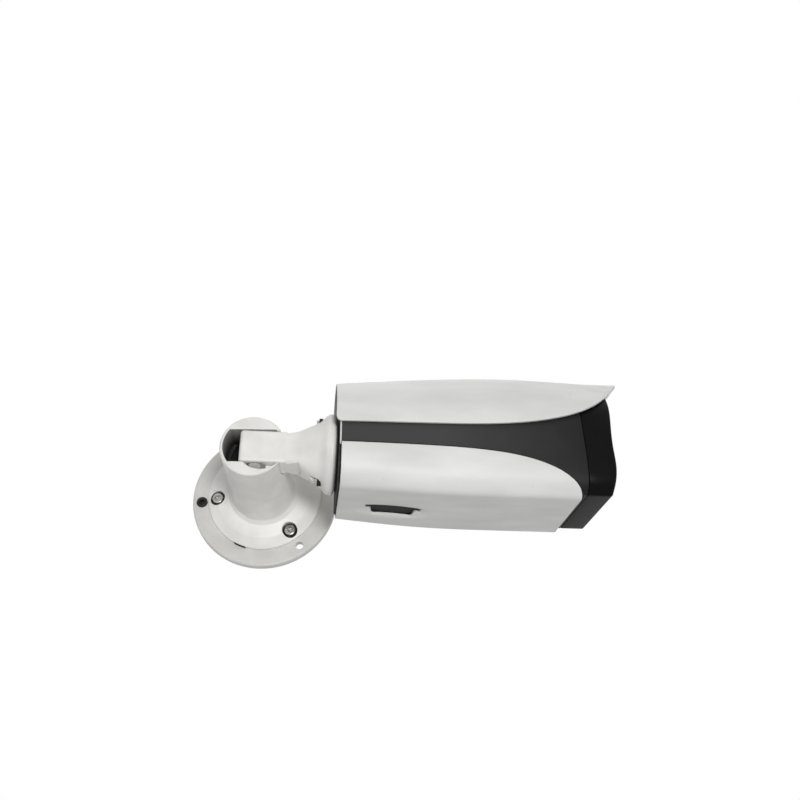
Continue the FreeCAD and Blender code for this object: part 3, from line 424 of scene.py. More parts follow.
def bore_painted_shade(tree, spot, paint, radius, half_height, shade_start_depth, shade_full_depth):
    """Painted shade inside a bore about the wall axis, between two heights: the paint greys and darkens with depth."""
    flat = add_node(tree, "ShaderNodeVectorMath", {1: (1.0, 0.0, 1.0)}, {0: (spot, 0)}, operation="MULTIPLY")
    reach = add_node(tree, "ShaderNodeVectorMath", links={0: (flat, 0)}, operation="LENGTH")
    within = add_node(tree, "ShaderNodeMath", {1: radius}, {0: (reach, "Value")}, operation="LESS_THAN")
    axes = add_node(tree, "ShaderNodeSeparateXYZ", links={"Vector": (spot, 0)})
    height = add_node(tree, "ShaderNodeMath", links={0: (axes, "Z")}, operation="ABSOLUTE")
    between = add_node(tree, "ShaderNodeMath", {1: half_height}, {0: (height, 0)}, operation="LESS_THAN")
    inside = add_node(tree, "ShaderNodeMath", links={0: (within, 0), 1: (between, 0)}, operation="MULTIPLY")
    depth = add_node(tree, "ShaderNodeMapRange", {"From Min": -shade_start_depth, "From Max": -shade_full_depth},
                     {"Value": (axes, "Y")})
    ramp = add_node(tree, "ShaderNodeValToRGB", links={"Fac": (depth, "Result")})
    ramp.color_ramp.elements[0].color = (*linear("#a3a29f"), 1.0)
    ramp.color_ramp.elements[1].color = (*linear("#1d1d1c"), 1.0)
    return add_node(tree, "ShaderNodeMix", links={"Factor": (inside, 0), "A": (paint, "Result"), "B": (ramp, "Color")},
                    data_type="RGBA")


def painted_cover(name, light, dark, scuff):
    # Sprayed satin paint on a cast cover: smoother than powder coat, with long faint streaks from
    # wiping along the body and a few grey rub marks.
    finish, tree, shader, spot = new_finish(name, light, 0.5, IOR=1.5, **{"Specular IOR Level": 0.4})
    drift = tint(tree, spot, shader, light, dark, 16.0, stretch=(0.35, 1.0, 1.0))
    rub = add_node(tree, "ShaderNodeTexNoise", {"Scale": 1 / 5.0, "Detail": 4.0, "Roughness": 0.7},
                   {"Vector": (spot, 0)})
    mark = add_node(tree, "ShaderNodeMapRange", {"From Min": 0.69, "From Max": 0.80, "To Max": 0.55},
                    {"Value": (rub, "Fac")})
    mixed = add_node(tree, "ShaderNodeMix", {"B": (*scuff, 1.0)}, {"Factor": (mark, "Result"), "A": (drift, "Color")},
                     data_type="RGBA")
    tree.links.new(mixed.outputs["Result"], shader.inputs["Base Color"])
    peel = add_node(tree, "ShaderNodeTexNoise", {"Scale": 1 / 2.2, "Detail": 2.0}, {"Vector": (spot, 0)})
    add_bump(tree, shader, peel, "Fac", 0.02)
    return finish


def dark_casting_painted_shading(name, rear, front):
    # Dark grey paint on the inner casting. Its colour carries painted light: lighter towards the rear,
    # where the curved side catches more light, and darker near the front.
    finish, tree, shader, spot = new_finish(name, rear, 0.5, IOR=1.5, **{"Specular IOR Level": 0.16})
    along = add_node(tree, "ShaderNodeVectorMath", {1: (math.cos(YAW), math.sin(YAW), 0.0)}, {0: (spot, 0)},
                     operation="DOT_PRODUCT")
    cloud = add_node(tree, "ShaderNodeTexNoise", {"Scale": 1 / 9.0, "Detail": 3.0}, {"Vector": (spot, 0)})
    drift = add_node(tree, "ShaderNodeMath", {1: 14.0, 2: -7.0}, {0: (cloud, "Fac")}, operation="MULTIPLY_ADD")
    mixed = add_node(tree, "ShaderNodeMath", links={0: (along, "Value"), 1: (drift, 0)}, operation="ADD")
    # Painted light: the colour fades from the lit rear tone to the darker front tone.
    fade = add_node(tree, "ShaderNodeMapRange", {"From Min": 95.0, "From Max": 178.0}, {"Value": (mixed, 0)})
    ramp = add_node(tree, "ShaderNodeValToRGB", links={"Fac": (fade, "Result")})
    ramp.color_ramp.elements[0].color = (*rear, 1.0)
    ramp.color_ramp.elements[1].color = (*front, 1.0)
    tree.links.new(ramp.outputs["Color"], shader.inputs["Base Color"])
    peel = add_node(tree, "ShaderNodeTexNoise", {"Scale": 1 / 1.4, "Detail": 2.0}, {"Vector": (spot, 0)})
    add_bump(tree, shader, peel, "Fac", 0.03)
    return finish


def moulded_plastic(name, light, dark, roughness, size_mm, depth_mm=0.02, shine=0.35):
    # Moulded plastic with the fine spark texture of its tool.
    finish, tree, shader, spot = new_finish(name, light, roughness, IOR=1.5, **{"Specular IOR Level": shine})
    tint(tree, spot, shader, light, dark, size_mm * 8)
    grain = add_node(tree, "ShaderNodeTexNoise", {"Scale": 1 / size_mm, "Detail": 2.0}, {"Vector": (spot, 0)})
    add_bump(tree, shader, grain, "Fac", depth_mm)
    return finish


def worked_metal(name, light, dark, roughness, line_mm, depth_mm=0.01, stretch=(1.0, 1.0, 1.0)):
    # Turned, rolled or milled metal: fine lines from the tool, drawn coarse enough to show.
    finish, tree, shader, spot = new_finish(name, light, roughness, metallic=1.0)
    tint(tree, spot, shader, light, dark, line_mm * 6)
    sized = add_node(tree, "ShaderNodeVectorMath", {1: stretch}, {0: (spot, 0)}, operation="MULTIPLY")
    lines = add_node(tree, "ShaderNodeTexNoise", {"Scale": 1 / line_mm, "Detail": 3.0}, {"Vector": (sized, 0)})
    add_bump(tree, shader, lines, "Fac", depth_mm)
    rough = add_node(tree, "ShaderNodeMapRange", {"To Min": roughness - 0.06, "To Max": roughness + 0.1},
                     {"Value": (lines, "Fac")})
    tree.links.new(rough.outputs["Result"], shader.inputs["Roughness"])
    return finish


def clear_part(name, colour, roughness, ior, dust=0.02, **sockets):
    # Glass and clear resin: what shows is the tint, the polish and faint dust.
    finish, tree, shader, spot = new_finish(name, colour, roughness, IOR=ior,
                                            **{"Transmission Weight": 1.0, **sockets})
    film = add_node(tree, "ShaderNodeTexNoise", {"Scale": 1 / 6.0, "Detail": 2.0}, {"Vector": (spot, 0)})
    haze = add_node(tree, "ShaderNodeMapRange", {"From Min": 0.5, "From Max": 0.85, "To Min": roughness,
                                                 "To Max": roughness + dust}, {"Value": (film, "Fac")})
    tree.links.new(haze.outputs["Result"], shader.inputs["Roughness"])
    return finish


def circuit_board(name, mask, trace, roughness=0.35):
    # Glass-epoxy board under solder mask: copper tracks about 1 mm apart show as a lighter net.
    finish, tree, shader, spot = new_finish(name, mask, roughness, IOR=1.5)
    net = add_node(tree, "ShaderNodeTexBrick", {"Color1": (*mask, 1.0), "Color2": (*mask, 1.0),
                                                "Mortar": (*trace, 1.0), "Scale": 1.0, "Mortar Size": 0.12,
                                                "Brick Width": 3.2, "Row Height": 1.1}, {"Vector": (spot, 0)})
    tree.links.new(net.outputs["Color"], shader.inputs["Base Color"])
    add_bump(tree, shader, net, "Fac", 0.03)
    return finish


def make_finishes(colours):
    """Every slot of the record with the real material it is made of."""
    white = tuple(colours.cover_white)
    bracket = tuple(colours.bracket_white)
    return {
        "bracket_paint": powder_coated_aluminium("Powder_coated_aluminium", bracket, linear("#eae9e6"),
                                                 linear("#8f8e8a")),
        # The wall plate is the bracket's powder coat drawn greyer: painted shade, darker than the cap beside it.
        "plate_painted_shade": powder_coated_aluminium("Powder_coated_wall_plate_painted_shade", linear("#dcdbd8"), linear("#d0cfcc"),
                                               linear("#85847f")),
        # The post's bore gets a painted shade that greys and darkens with depth.
        "post_paint": powder_coated_aluminium("Powder_coated_post", bracket, linear("#eae9e6"), linear("#8f8e8a"),
                                              bore=(16.3, 9.9, 77.0, 63.0)),
        "cover_paint": painted_cover("Satin_painted_cover", white, linear("#dededc"), linear("#8b8a87")),
        "housing_dark": dark_casting_painted_shading("Dark_painted_casting", tuple(colours.stripe_rear_painted_light),
                                            tuple(colours.stripe_front)),
        # The rear cap is drawn near black: painted shade for the shadowed gap between the bell and the body.
        "shaded_rear": dark_casting_painted_shading("Rear_casting_painted_shade", linear("#1b1b1c"), linear("#161617")),
        "bezel_black": moulded_plastic("Moulded_black_polycarbonate", tuple(colours.bezel_black),
                                       linear("#09090a"), 0.38, 1.2, shine=0.07),
        "steel": worked_metal("Stainless_steel_screws", linear("#b4b2ae"), linear("#8b8985"), 0.24, 0.8),
        "rubber": moulded_plastic("Moulded_silicone_rubber", linear("#161616"), linear("#101010"), 0.7, 0.9),
        "grommet_black": moulded_plastic("Moulded_rubber_grommet", linear("#181818"), linear("#101010"), 0.6, 0.8),
        "brass": worked_metal("Turned_brass", linear("#c9a45c"), linear("#a5813f"), 0.3, 0.8),
        "nylon": moulded_plastic("Moulded_black_nylon", linear("#161617"), linear("#101011"), 0.5, 1.0, depth_mm=0.01,
                                 shine=0.16),
        "window_glass": clear_part("Tinted_window_glass", linear("#b9bbc0"), 0.0, 1.52),
        "lens_glass": clear_part("Coated_optical_glass", linear("#dfe4ee"), 0.01, 1.6,
                                 **{"Thin Film Thickness": 420.0, "Thin Film IOR": 1.38}),
        "filter_glass": clear_part("Coated_filter_glass", linear("#c98a92"), 0.02, 1.52),
        "lens_black": worked_metal("Black_anodised_aluminium", linear("#1d1d1f"), linear("#121214"), 0.4, 0.7),
        "bare_aluminium": worked_metal("Rolled_aluminium_sheet", linear("#c9cacc"), linear("#aeb0b2"), 0.38, 0.6,
                                       stretch=(0.08, 1.0, 1.0)),
        "circuit_green": circuit_board("Green_solder_masked_board", linear("#0f5a30"), linear("#2c7d4d")),
        "circuit_black": circuit_board("Black_solder_masked_board", linear("#131313"), linear("#25251f")),
        "led_clear": clear_part("Clear_epoxy_resin", linear("#e9e6dc"), 0.05, 1.5, dust=0.05,
                                **{"Transmission Weight": 0.45}),
        "chip": moulded_plastic("Sensor_package", linear("#27405a"), linear("#1c2f44"), 0.15, 1.1),
        "connectors": moulded_plastic("Moulded_connector", linear("#3a3a3c"), linear("#28282a"), 0.45, 0.8),
    }


# Sizes and colours that a user would change

class ShellSizes(bpy.types.PropertyGroup):
    cover_rim: FloatProperty(name="Cover rim", description="Thickness of the covers at their open edges",
                             default=0.0013, min=0.0005, max=0.0026, unit="LENGTH")
    cover_edge: FloatProperty(name="Cover edge", description="Rounding of the covers' edges",
                              default=0.00035, min=0.0, max=0.001, unit="LENGTH")
    corner_round: FloatProperty(name="Lower corner", description="Rounding between the sides and the underside",
                                default=0.0026, min=0.0005, max=0.005, unit="LENGTH")
    scoop_depth: FloatProperty(name="Scoop depth", description="Depth of the scoop in the underside",
                               default=0.0017, min=0.0, max=0.0024, unit="LENGTH")
    # Width of the painted shade strip along the lower cover's edge.
    shadow_strip_width: FloatProperty(name="Shadow strip width", description="Width of the black strip of painted shade beside a cover",
                              default=0.0012, min=0.0002, max=0.002, unit="LENGTH")
    skirt_radius: FloatProperty(name="Gasket radius", description="Outer radius of the rubber between bell and camera",
                                default=0.0210, min=0.0205, max=0.0228, unit="LENGTH")
    bezel_round: FloatProperty(name="Bezel rounding", description="Rounding of the bezel's front edge",
                               default=0.0014, min=0.0003, max=0.003, unit="LENGTH")


class FinishColours(bpy.types.PropertyGroup):
    cover_white: FloatVectorProperty(name="Cover white", description="Paint of the two covers",
                                     subtype="COLOR", default=linear("#e9e9e7"), min=0.0, max=1.0)
    bracket_white: FloatVectorProperty(name="Bracket white", description="Powder coat of the bracket",
                                       subtype="COLOR", default=linear("#f5f4f1"), min=0.0, max=1.0)
    # The stripe's rear colour is a painted light, lighter where its curved side catches light.
    stripe_rear_painted_light: FloatVectorProperty(name="Stripe, rear", description="Side stripe drawn lighter by painted light",
                                     subtype="COLOR", default=linear("#434344"), min=0.0, max=1.0)
    stripe_front: FloatVectorProperty(name="Stripe, front", description="Side stripe near the bezel",
                                      subtype="COLOR", default=linear("#191919"), min=0.0, max=1.0)
    bezel_black: FloatVectorProperty(name="Bezel black", description="Plastic of the front bezel",
                                     subtype="COLOR", default=linear("#0d0d0e"), min=0.0, max=1.0)


class StageSizes(bpy.types.PropertyGroup):
    floor_drop: FloatProperty(name="Floor drop", description="How far the floor lies below the camera's axis",
                              default=1.0, min=0.1, max=3.0, unit="LENGTH")
    floor_glow: FloatProperty(name="Floor glow", description="How much paler the floor looks than it is lit",
                              default=0.4, min=0.0, max=1.0)
    key_power: FloatProperty(name="Key power", description="Power of the large lamp in front",
                             default=6.4, min=0.0, max=200.0, unit="POWER")
    fill_power: FloatProperty(name="Fill power", description="Power of the lamp below",
                              default=0.7, min=0.0, max=200.0, unit="POWER")
    back_power: FloatProperty(name="Back power", description="Power of the lamp behind the wall plane",
                              default=5.0, min=0.0, max=200.0, unit="POWER")
    top_power: FloatProperty(name="Top power", description="Power of the lamp overhead",
                             default=3.2, min=0.0, max=200.0, unit="POWER")
    ambient: FloatProperty(name="Ambient", description="Strength of the even light from all round",
                           default=0.32, min=0.0, max=2.0)


finishes = {}


# Body shells

class HOUSING_OT_top_cover(bpy.types.Operator):
    """Loft the white top cover with its pointed visor"""
    bl_idname = "housing.top_cover"
    bl_label = "Top Cover"

    def execute(self, context):
        sizes = context.scene.shell_sizes
        columns = [TOP_REAR + d for d in (0.0, 0.25, 0.6, 1.1, 1.7, 2.3, 3.0)]
        columns += [TOP_REAR + 3.0 + (188.0 - TOP_REAR - 3.0) * k / 56 for k in range(1, 57)]
        columns += visor_columns(188.0, 34)
        rows = []
        for u in columns:
            right = resampled(above(half_section(u), stripe_top_at(u)), 30)
            rows.append([(u, v, w) for v, w in right] + [(u, -v, w) for v, w in reversed(right[:-1])])
        vertices = [p for row in rows for p in row]
        cover = new_piece("top_cover_shell", vertices, grid_faces(len(rows), len(rows[0])), ARM_FRAME)
        face_out(cover)
        thicken(cover, sizes.cover_rim)
        soften(cover, sizes.cover_edge)
        dress(cover, "camera", "cover_paint", finishes["cover_paint"], "top_cover")
        return {"FINISHED"}


class HOUSING_OT_lower_cover(bpy.types.Operator):
    """Form the white lower cover with its scoop and slot"""
    bl_idname = "housing.lower_cover"
    bl_label = "Lower Cover"

    def execute(self, context):
        sizes = context.scene.shell_sizes
        last = front_of_lower()
        columns = [LOWER_REAR + (54.0 - LOWER_REAR) * k / 4 for k in range(4)]
        columns += [54.0 + (100.0 - 54.0) * k / 46 for k in range(47)]
        columns += [100.0 + (150.0 - 100.0) * k / 18 for k in range(1, 19)]
        columns += [150.0 + (last - 150.0) * math.sin(math.pi / 2 * k / 26) for k in range(1, 27)]
        rows = [lower_row(u, sizes) for u in columns]
        vertices = [p for row in rows for p in row]
        cover = new_piece("lower_cover_shell", vertices, grid_faces(len(rows), len(rows[0])), ARM_FRAME)
        face_out(cover)
        thicken(cover, sizes.cover_rim)
        cut_out(cover, slot_cutter())
        soften(cover, sizes.cover_edge)
        dress(cover, "camera", "cover_paint", finishes["cover_paint"], "lower_cover")
        return {"FINISHED"}


class HOUSING_OT_cover_shadow_strips(bpy.types.Operator):
    """Lay black strips along the lower cover's edge: painted shade, thin dark lines for the shadowed gap under that
    edge
    """
    bl_idname = "housing.cover_seals"
    bl_label = "Cover Shadow Strips"

    def execute(self, context):
        width = context.scene.shell_sizes.shadow_strip_width / MM
        low = [p for p in stripe_low_path[::4] if p[1] > floor_at(p[0]) + 0.4]
        # Painted shade: black strips that draw the shadowed gap along the lower cover's edge.
        for side, name in ((1, "lower_shadow_strip_left"), (-1, "lower_shadow_strip_right")):
            shade_piece = shadow_gap_strip(name, low, width, side)
            dress(shade_piece, "camera", "rubber", finishes["rubber"])
        return {"FINISHED"}


def shadow_gap_strip(name, path, width, side):
    """A slim half-round black strip on the casting, half hidden under the cover's edge: painted shade for the gap
    there.
    """
    rows = []
    for k, (u, w) in enumerate(path):
        a, b = path[max(k - 1, 0)], path[min(k + 1, len(path) - 1)]
        run = math.dist(a, b)
        normal = (-(b[1] - a[1]) / run, (b[0] - a[0]) / run)
        row = []
        for across, inset in ((-0.2, HOUSING_INSET), (-0.2, 0.5), (0.6, 0.5), (0.85, 0.7), (1.0, 1.1),
                              (1.0, HOUSING_INSET)):
            shift = across * width
            here = (u + shift * normal[0], w + shift * normal[1])
            row.append((here[0], side * half_width(here[0], here[1], inset), here[1]))
        rows.append(row)
    vertices = [p for row in rows for p in row]
    return new_piece(name, vertices, grid_faces(len(rows), len(rows[0]), closed=True), ARM_FRAME)


def half_width(u, w, inset):
    """Half width of the body's form at u and a height w."""
    line = half_section(u, inset)
    if w <= line[0][1]:
        return line[0][0]
    for a, b in zip(line, line[1:]):
        if a[1] <= w < b[1]:
            return a[0] + (w - a[1]) / (b[1] - a[1]) * (b[0] - a[0])
    return 0.0


def visor_columns(start, count):
    """Stations from start to the visor's tip, spaced evenly along the visor's own edge."""
    tip = STRIPE_TOP[-1][0]
    fine = [start + (tip - start) * k / 400 for k in range(401)]
    edge = []
    for u in fine:
        v, w = above(half_section(u), stripe_top_at(u))[0]
        edge.append((u, v, w))
    return [p[0] for p in resampled(edge, count)[1:]]


def front_of_lower():
    """Where the lower cover's edge curve meets the underside."""
    low, high = STRIPE_LOW[-2][0], STRIPE_LOW[-1][0]
    for _ in range(40):
        middle = (low + high) / 2
        if stripe_low_at(middle) > floor_at(middle):
            low = middle
        else:
            high = middle
    return low


def lower_row(u, sizes):
    """One station of the lower cover: down the right side, round the corner, along the underside, up the left."""
    floor_w = floor_at(u)
    side = rounded_side(u, sizes.corner_round / MM)
    upper = list(reversed(resampled(clipped(side, max(stripe_low_at(u), floor_w + 0.002)), 30)))
    floor_end = side[0][0]
    floor = [(floor_end * (1 - 2 * k / 46), floor_w) for k in range(1, 46)]
    left = [(-v, w) for v, w in reversed(upper)]
    return [(u, v, w + scoop_lift(u, v, sizes) if abs(w - floor_w) < 1e-6 else w) for v, w in [*upper, *floor, *left]]


def rounded_side(u, radius):
    """The half section from the end of the flat floor, with its lower corner rounded."""
    line = half_section(u)
    lengths = [0.0]
    for a, b in zip(line, line[1:]):
        lengths.append(lengths[-1] + math.dist(a, b))
    k = next(i for i, run in enumerate(lengths) if run > radius)
    part = (radius - lengths[k - 1]) / (lengths[k] - lengths[k - 1])
    start = tuple(line[k - 1][i] + part * (line[k][i] - line[k - 1][i]) for i in range(2))
    corner = line[0]
    floor_end = (corner[0] - radius, corner[1])
    bend = []
    for step in range(13):
        t = step / 12
        bend.append(tuple((1 - t) ** 2 * floor_end[i] + 2 * t * (1 - t) * corner[i] + t * t * start[i]
                          for i in range(2)))
    return [*bend, *line[k:]]


def clipped(line, level):
    """The part of a rising line up to a level, cut exactly there."""
    for k, (a, b) in enumerate(zip(line, line[1:])):
        if b[1] >= level:
            part = (level - a[1]) / max(b[1] - a[1], 1e-9)
            return [*line[:k + 1], tuple(a[i] + min(max(part, 0.0), 1.0) * (b[i] - a[i]) for i in range(2))]
    return line


def scoop_lift(u, v, sizes):
    """Height of the scoop above the flat underside, a shallow spindle."""
    centre_u, centre_v, half_length, spin = SCOOP
    depth = sizes.scoop_depth / MM
    along = (u - centre_u) / half_length
    if abs(along) >= 1:
        return 0.0
    radius = spin - depth * along * along
    across = v - centre_v
    if abs(across) >= radius:
        return 0.0
    return max(0.0, math.sqrt(radius ** 2 - across ** 2) - (spin - depth))


def slot_cutter():
    """Prism of the slot in the scoop, wide at the near side and narrow at the far side."""
    near, far = -2.5, 11.2
    outline = [(-15.8, near), (15.8, near), (15.0, near + 6.8), (12.3, near + 7.4), (11.3, far - 0.8), (10.4, far),
               (-10.4, far), (-11.3, far - 0.8), (-12.3, near + 7.4), (-15.0, near + 6.8)]
    vertices = [(77.0 + u, v, w) for w in (-34.0, -24.0) for u, v in outline]
    count = len(outline)
    faces = [tuple(range(count)), tuple(range(count, 2 * count))]
    faces += [(k, (k + 1) % count, (k + 1) % count + count, k + count) for k in range(count)]
    return new_piece("slot_cutter", vertices, faces, ARM_FRAME)


def face_out(piece):
    """Turn an open sheet's faces away from the camera body's axis."""
    mesh = piece.data
    centre = ARM_FRAME @ Vector((115.0, 0.0, 5.0))
    face = max(mesh.polygons, key=lambda p: p.area)
    if face.normal.dot(face.center - centre) < 0:
        mesh.flip_normals()


def thicken(piece, thickness):
    wall = piece.modifiers.new("Wall", "SOLIDIFY")
    wall.thickness = thickness
    wall.offset = -1.0
    wall.use_even_offset = True
    wall.use_rim = True
    apply_modifiers(piece)


class HOUSING_OT_front_bezel(bpy.types.Operator):
    """Sweep the black front bezel and the pale rim behind the housing"""
    bl_idname = "housing.front_bezel"
    bl_label = "Front Bezel"

    def execute(self, context):
        sizes = context.scene.shell_sizes
        soft = sizes.bezel_round / MM
        inner = INNER_INSET
        face = [(BODY_FRONT - soft + soft * math.sin(a), HOUSING_INSET + soft - soft * math.cos(a), sweep_at)
                for a in (math.pi / 2 * k / 5 for k in range(6))]
        stations = [(SEAM + 0.25, HOUSING_INSET + 0.25), (SEAM + 0.5, HOUSING_INSET), (SEAM + 5, HOUSING_INSET),
                    *face, (BODY_FRONT, inner + 3.8, sweep_at), (BODY_FRONT - 0.6, inner + 4.4, sweep_at),
                    (BODY_FRONT - LIP_T, inner + 4.4), (BODY_FRONT - LIP_T, inner), (SEAM, inner),
                    (SEAM, HOUSING_INSET + 0.6)]
        bezel = swept_ring("bezel_shell", stations)
        soften(bezel, 0.0001)
        dress(bezel, "camera", "bezel_black", finishes["bezel_black"], "front_bezel")
        rear = CAP_REAR + 0.05
        front = rear + BAND_T
        rim = joined("rear_rim", [side_strip(rear, front, (-8.4, 5.4), side) for side in (1, -1)])
        dress(rim, "camera", "cover_paint", finishes["cover_paint"], "rear_band")
        step = swept_ring("housing_rear_step", [(front + 0.05, 2.72), (HOUSING_REAR + 0.1, 2.72), (HOUSING_REAR + 0.1, 5.4),
                                                (front + 0.05, 5.4)])
        dress(step, "camera", "housing_dark", finishes["housing_dark"])
        return {"FINISHED"}


def side_strip(rear, front, heights, side, steps=16):
    """A slim upright strip on the body's side between two heights w."""
    rows = []
    for k in range(steps + 1):
        w = heights[0] + (heights[1] - heights[0]) * k / steps
        rows += [(u, side * half_width(u, w, inset), w) for u, inset in
                 ((rear, 5.4), (rear, 2.7), (rear + 0.2, 2.5), (front - 0.2, 2.5), (front, 2.7), (front, 5.4))]
    faces = grid_faces(steps + 1, 6, closed=True) + [tuple(range(6)), tuple(6 * steps + k for k in range(6))]
    return new_piece("strip", rows, faces, ARM_FRAME)


class HOUSING_OT_bracket_details(bpy.types.Operator):
    """Turn the bracket's screws, grommet and the roll joint's gasket, with black rings and a block of painted shade
    round the screws and in the notch
    """
    bl_idname = "housing.bracket_details"
    bl_label = "Bracket Details"

    def execute(self, context):
        sizes = context.scene.shell_sizes
        spots = [(28.9 * math.cos(math.radians(a)), 28.9 * math.sin(math.radians(a))) for a in (186, 306, 66)]
        seat = 7.4
        screws = [lathe("screw", screw_outline(seat, 2.6, 3.3, 2.0, 1.4, 1.75), out_of_wall(x, z)) for x, z in spots]
        dress(softened(joined("base_socket_screws", screws)), "base", "steel", finishes["steel"], "base_screws")
        # Painted shade: black rings round the base screw heads fill the counterbores, which lie in shadow.
        ring = [(seat, 3.4), (seat, 4.55), (seat + 0.5, 4.55), (seat + 0.8, 4.2), (seat + 0.8, 3.4)]
        screw_shade_rings = [lathe("shade_ring_piece", ring, out_of_wall(x, z)) for x, z in spots]
        dress(softened(joined("base_screw_shade_rings", screw_shade_rings)), "base", "rubber", finishes["rubber"])

        turns = [math.radians(a) for a in (8.0, 112.0, 264.0)]
        spots = [(17.2 * math.cos(a), 17.2 * math.sin(a)) for a in turns]
        screws = [lathe("screw", screw_outline(36.5, 3.5, 2.1, 1.25, 41.7, 1.15), along_arm(v, w)) for v, w in spots]
        dress(softened(joined("arm_socket_screws", screws)), "arm", "steel", finishes["steel"], "arm_screws")
        # Painted shade: black rings round the arm screw heads, for the shadow in their counterbores.
        ring = [(36.5, 2.15), (36.5, 2.95), (34.6, 2.95), (34.3, 2.75), (34.3, 2.35), (34.5, 2.15)]
        screw_shade_rings = [lathe("shade_ring_piece", ring, along_arm(v, w)) for v, w in spots]
        dress(softened(joined("arm_screw_shade_rings", screw_shade_rings)), "arm", "rubber", finishes["rubber"])

        turn = math.radians(186.0)
        lip = [(2.6, 2.0), (2.6, 2.3), (5.0, 2.3), (5.0, 3.4), (5.6, 3.4), (5.85, 3.2), (5.95, 2.9), (5.8, 2.3),
               (5.5, 1.7), (5.2, 1.5), (3.6, 1.4), (3.5, 0.0), (3.2, 0.0), (3.2, 1.7)]
        grommet = lathe("rubber_grommet", lip, out_of_wall(39.2 * math.cos(turn), 39.2 * math.sin(turn)))
        dress(softened(grommet), "base", "grommet_black", finishes["grommet_black"], "hole_grommet")

        spots = [(60.8 + 32.4 * k / 8, floor_at(60.8 + 32.4 * k / 8)) for k in range(9)]
        pad = [(u, v, w + rise) for u, w in spots for v, rise in ((-3.4, 2.4), (15.0, 2.4), (15.0, 3.2), (-3.4, 3.2))]
        faces = grid_faces(9, 4, closed=True) + [(0, 1, 2, 3), (32, 33, 34, 35)]
        dress(new_piece("slot_pad", pad, faces, ARM_FRAME), "camera", "rubber", finishes["rubber"])

        # Painted shade: a black block filling the notch in the base cap, darkening it as if in shadow.
        shade_piece = arc_block("notch_shade_block", (33.4, 35.2), (5.05, 6.3), (248.0 - 6.2, 248.0 + 6.2), 16)
        dress(softened(shade_piece), "base", "rubber", finishes["rubber"])

        rings = (15.0, 15.6, 16.6, 17.8, 19.0, 20.2, 21.2, 22.0, 22.5, 22.75, 22.82)
        lip = [(lip_face(r), r) for r in rings] + [(dome_face(r, -0.3), r) for r in (22.7, 20.0, 17.5, 15.0)]
        dress(softened(lathe("bell_lip", lip, ARM_FRAME)), "arm", "bracket_paint", finishes["bracket_paint"])
        outer = sizes.skirt_radius / MM
        skirt = [(44.1, 12.2), (44.1, 14.3), (44.9, 14.6)] + [(lip_face(r) + 0.32, r) for r in (17.4, 18.6, 19.6, 20.4)]
        skirt += [(lip_face(outer) + 0.5, outer), (45.15, outer), (45.15, 12.2)]
        dress(softened(lathe("roll_gasket", skirt, ARM_FRAME)), "camera", "rubber", finishes["rubber"], "rear_gasket")

        # Painted shade: a black sleeve lines the bore and the slot floor, so the post's inside reads dark as in shadow.
        floor_d = 58.4
        sleeve_outline = [(12.0, 10.3), (12.0, 10.95), (floor_d, 10.95), (floor_d, 14.15), (floor_d + 0.7, 14.15),
                (floor_d + 0.9, 13.8), (floor_d + 0.9, 10.9), (floor_d + 0.6, 10.4), (floor_d, 10.3)]
        dress(softened(lathe("bore_shade_sleeve", sleeve_outline, out_of_wall(0.0, 0.0))), "post", "rubber", finishes["rubber"])
        return {"FINISHED"}


def out_of_wall(x, z):
    """Place of something turned about a line square to the wall."""
    return WALL_FRAME @ Matrix.Translation((x, 0.0, z)) @ Matrix.Rotation(-math.pi / 2, 4, "Z")


def along_arm(v, w):
    return ARM_FRAME @ Matrix.Translation((0.0, v, w))


def dome_face(radius, gap):
    """How far out along u the bell's dome lies at a radius, with a gap added."""
    dome_r = 76.0
    return 44.7 - dome_r + math.sqrt((dome_r + gap) ** 2 - radius ** 2)


def lip_face(radius):
    """How far out along u the bell's rounded lip lies at a radius."""
    inner, outer = 15.0, 22.85
    return 41.3 + 3.3 * max(0.0, 1.0 - ((radius - inner) / (outer - inner)) ** 3) ** (1 / 3)


def arc_block(name, radii, depths, degrees, steps):
    """A block bent round the wall plate's axis."""
    vertices = []
    for k in range(steps + 1):
        a = math.radians(degrees[0] + (degrees[1] - degrees[0]) * k / steps)
        for r, depth in ((radii[0], depths[0]), (radii[1], depths[0]), (radii[1], depths[1]), (radii[0], depths[1])):
            vertices.append((r * math.cos(a), -depth, r * math.sin(a)))
    faces = grid_faces(steps + 1, 4, closed=True) + [(0, 1, 2, 3), tuple(4 * steps + k for k in range(4))]
    return new_piece(name, vertices, faces, WALL_FRAME)


def softened(piece):
    """Shade a turned piece smooth but for its own sharp edges."""
    for face in piece.data.polygons:
        face.use_smooth = True
    piece.data.set_sharp_from_angle(angle=math.radians(35))
    return piece


# Nodes whose finish carries painted shade unlike the rest of their record slot: a near black rear cap, a greyer wall
# plate and a post whose bore darkens
OWN_FINISH = {"rear_cap": "shaded_rear", "wall_plate": "plate_painted_shade", "post": "post_paint"}


class HOUSING_OT_carried_nodes(bpy.types.Operator):
    """Give every carried CAD node the finish of its own record slot"""
    bl_idname = "housing.carried_nodes"
    bl_label = "Carried Nodes"

    def execute(self, context):
        slots = {part["node"]: part["material_slot"] for part in frame["record"]["subparts"]}
        for name, node in frame["nodes"].items():
            finish = finishes[OWN_FINISH.get(name, slots[name])]
            for holder in node.material_slots:
                holder.link = "OBJECT"
                holder.material = finish
        return {"FINISHED"}


